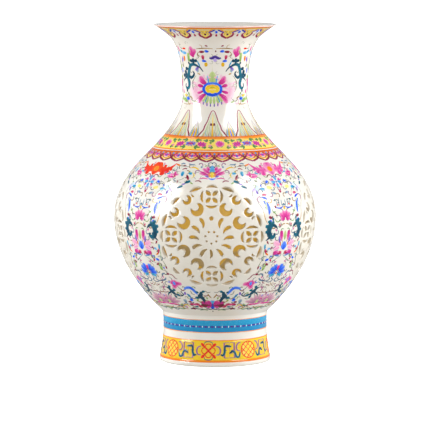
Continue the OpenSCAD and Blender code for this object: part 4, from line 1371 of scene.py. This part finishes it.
WALL_AWAY, WALL_HIGH = 12, 15
bm = bmesh.new()
bmesh.ops.create_grid(bm, x_segments=1, y_segments=1, size=900)
paper("floor", bm)
bm = bmesh.new()
bmesh.ops.create_cone(bm, cap_ends=False, segments=64, radius1=WALL_AWAY, radius2=WALL_AWAY,
                      depth=WALL_HIGH, matrix=Matrix.Translation((0, 0, WALL_HIGH / 2 - 0.1)))
paper("backdrop", bm).visible_shadow = False
print("paper floor, and a paper wall", WALL_AWAY, "m away")


# %% Soft light
def soft_box(name, place, aim_at, width, height, power, seen):
    """A rectangular lamp. seen says whether glossy surfaces, matt ones or both take its light."""
    lamp = bpy.data.lights.new(name, "AREA")
    lamp.shape, lamp.size, lamp.size_y, lamp.energy = "RECTANGLE", width, height, power
    box = bpy.data.objects.new(name, lamp)
    box.location = place
    box.rotation_euler = (Vector(aim_at) - Vector(place)).to_track_quat("-Z", "Y").to_euler()
    box.visible_glossy, box.visible_diffuse = seen != "matt", seen != "glossy"
    bpy.context.scene.collection.objects.link(box)


LAMPS = (       # name, place, aim, width, height, watts and the surfaces that take its light
    ("left_window", (-2.22, -1.05, 1.65), (0, 0, 1.0), 1.2, 2.4, 120, "glossy"),
    ("right_window", (2.0, -1.15, 2.05), (0, 0, 0.7), 1.7, 2.8, 125, "glossy"),
    ("left_soft_box", (-2.1, -0.5, 0.4), (0, 0, 0.12), 1.4, 0.76, 20, "matt"),
    ("right_soft_box", (2.1, -0.6, 0.4), (0, 0, 0.12), 1.4, 0.76, 24, "matt"),
    ("left_wall_panel", (-1.9, 0.9, 0.5), (0, 0, 0.15), 1.4, 1.8, 38, "matt"),
    ("right_wall_panel", (1.9, 0.9, 0.5), (0, 0, 0.15), 1.4, 1.8, 40, "matt"),
    ("front_panel", (0, -3.4, 0.7), (0, 0, 0.15), 3.0, 1.6, 27, "matt"),
    ("roof_panel", (0, -0.4, 2.7), (0, 0, 0.2), 2.0, 2.0, 5, "matt"),
    ("top_soft_box", (-0.1, -1.3, 2.3), (0, 0, 0.15), 1.2, 1.2, 7, "both"))
for lamp in LAMPS:
    soft_box(*lamp)
print(len(LAMPS), "lamps")

# %% The white tent around the table
# The tent is bright at its sides and below the table's edge, and darker at its roof.
world = bpy.data.worlds.new("studio")
world.use_nodes = True
tent = world.node_tree.nodes["Background"]
place = node(world, "ShaderNodeTexCoord")
split = node(world, "ShaderNodeSeparateXYZ", links=[("Vector", place.outputs["Generated"])])
height = node(world, "ShaderNodeMapRange", [(1, -1.0), (2, 1.0)], [(0, split.outputs["Z"])])
ramp = node(world, "ShaderNodeValToRGB", links=[("Fac", height.outputs[0])])
ramp.color_ramp.elements.new(0.52)
for stop, level, code in zip(ramp.color_ramp.elements, (0.40, 0.52, 0.75),
        ("F6F2EA", "FFFFFF", "D0D0D0")):
    stop.position, stop.color = level, srgb(code)
world.node_tree.links.new(ramp.outputs["Color"], tent.inputs["Color"])
tent.inputs["Strength"].default_value = 0.56
bpy.context.scene.world = world
bpy.context.scene.view_settings.view_transform = "Standard"
print("tent of strength", round(tent.inputs["Strength"].default_value, 2))
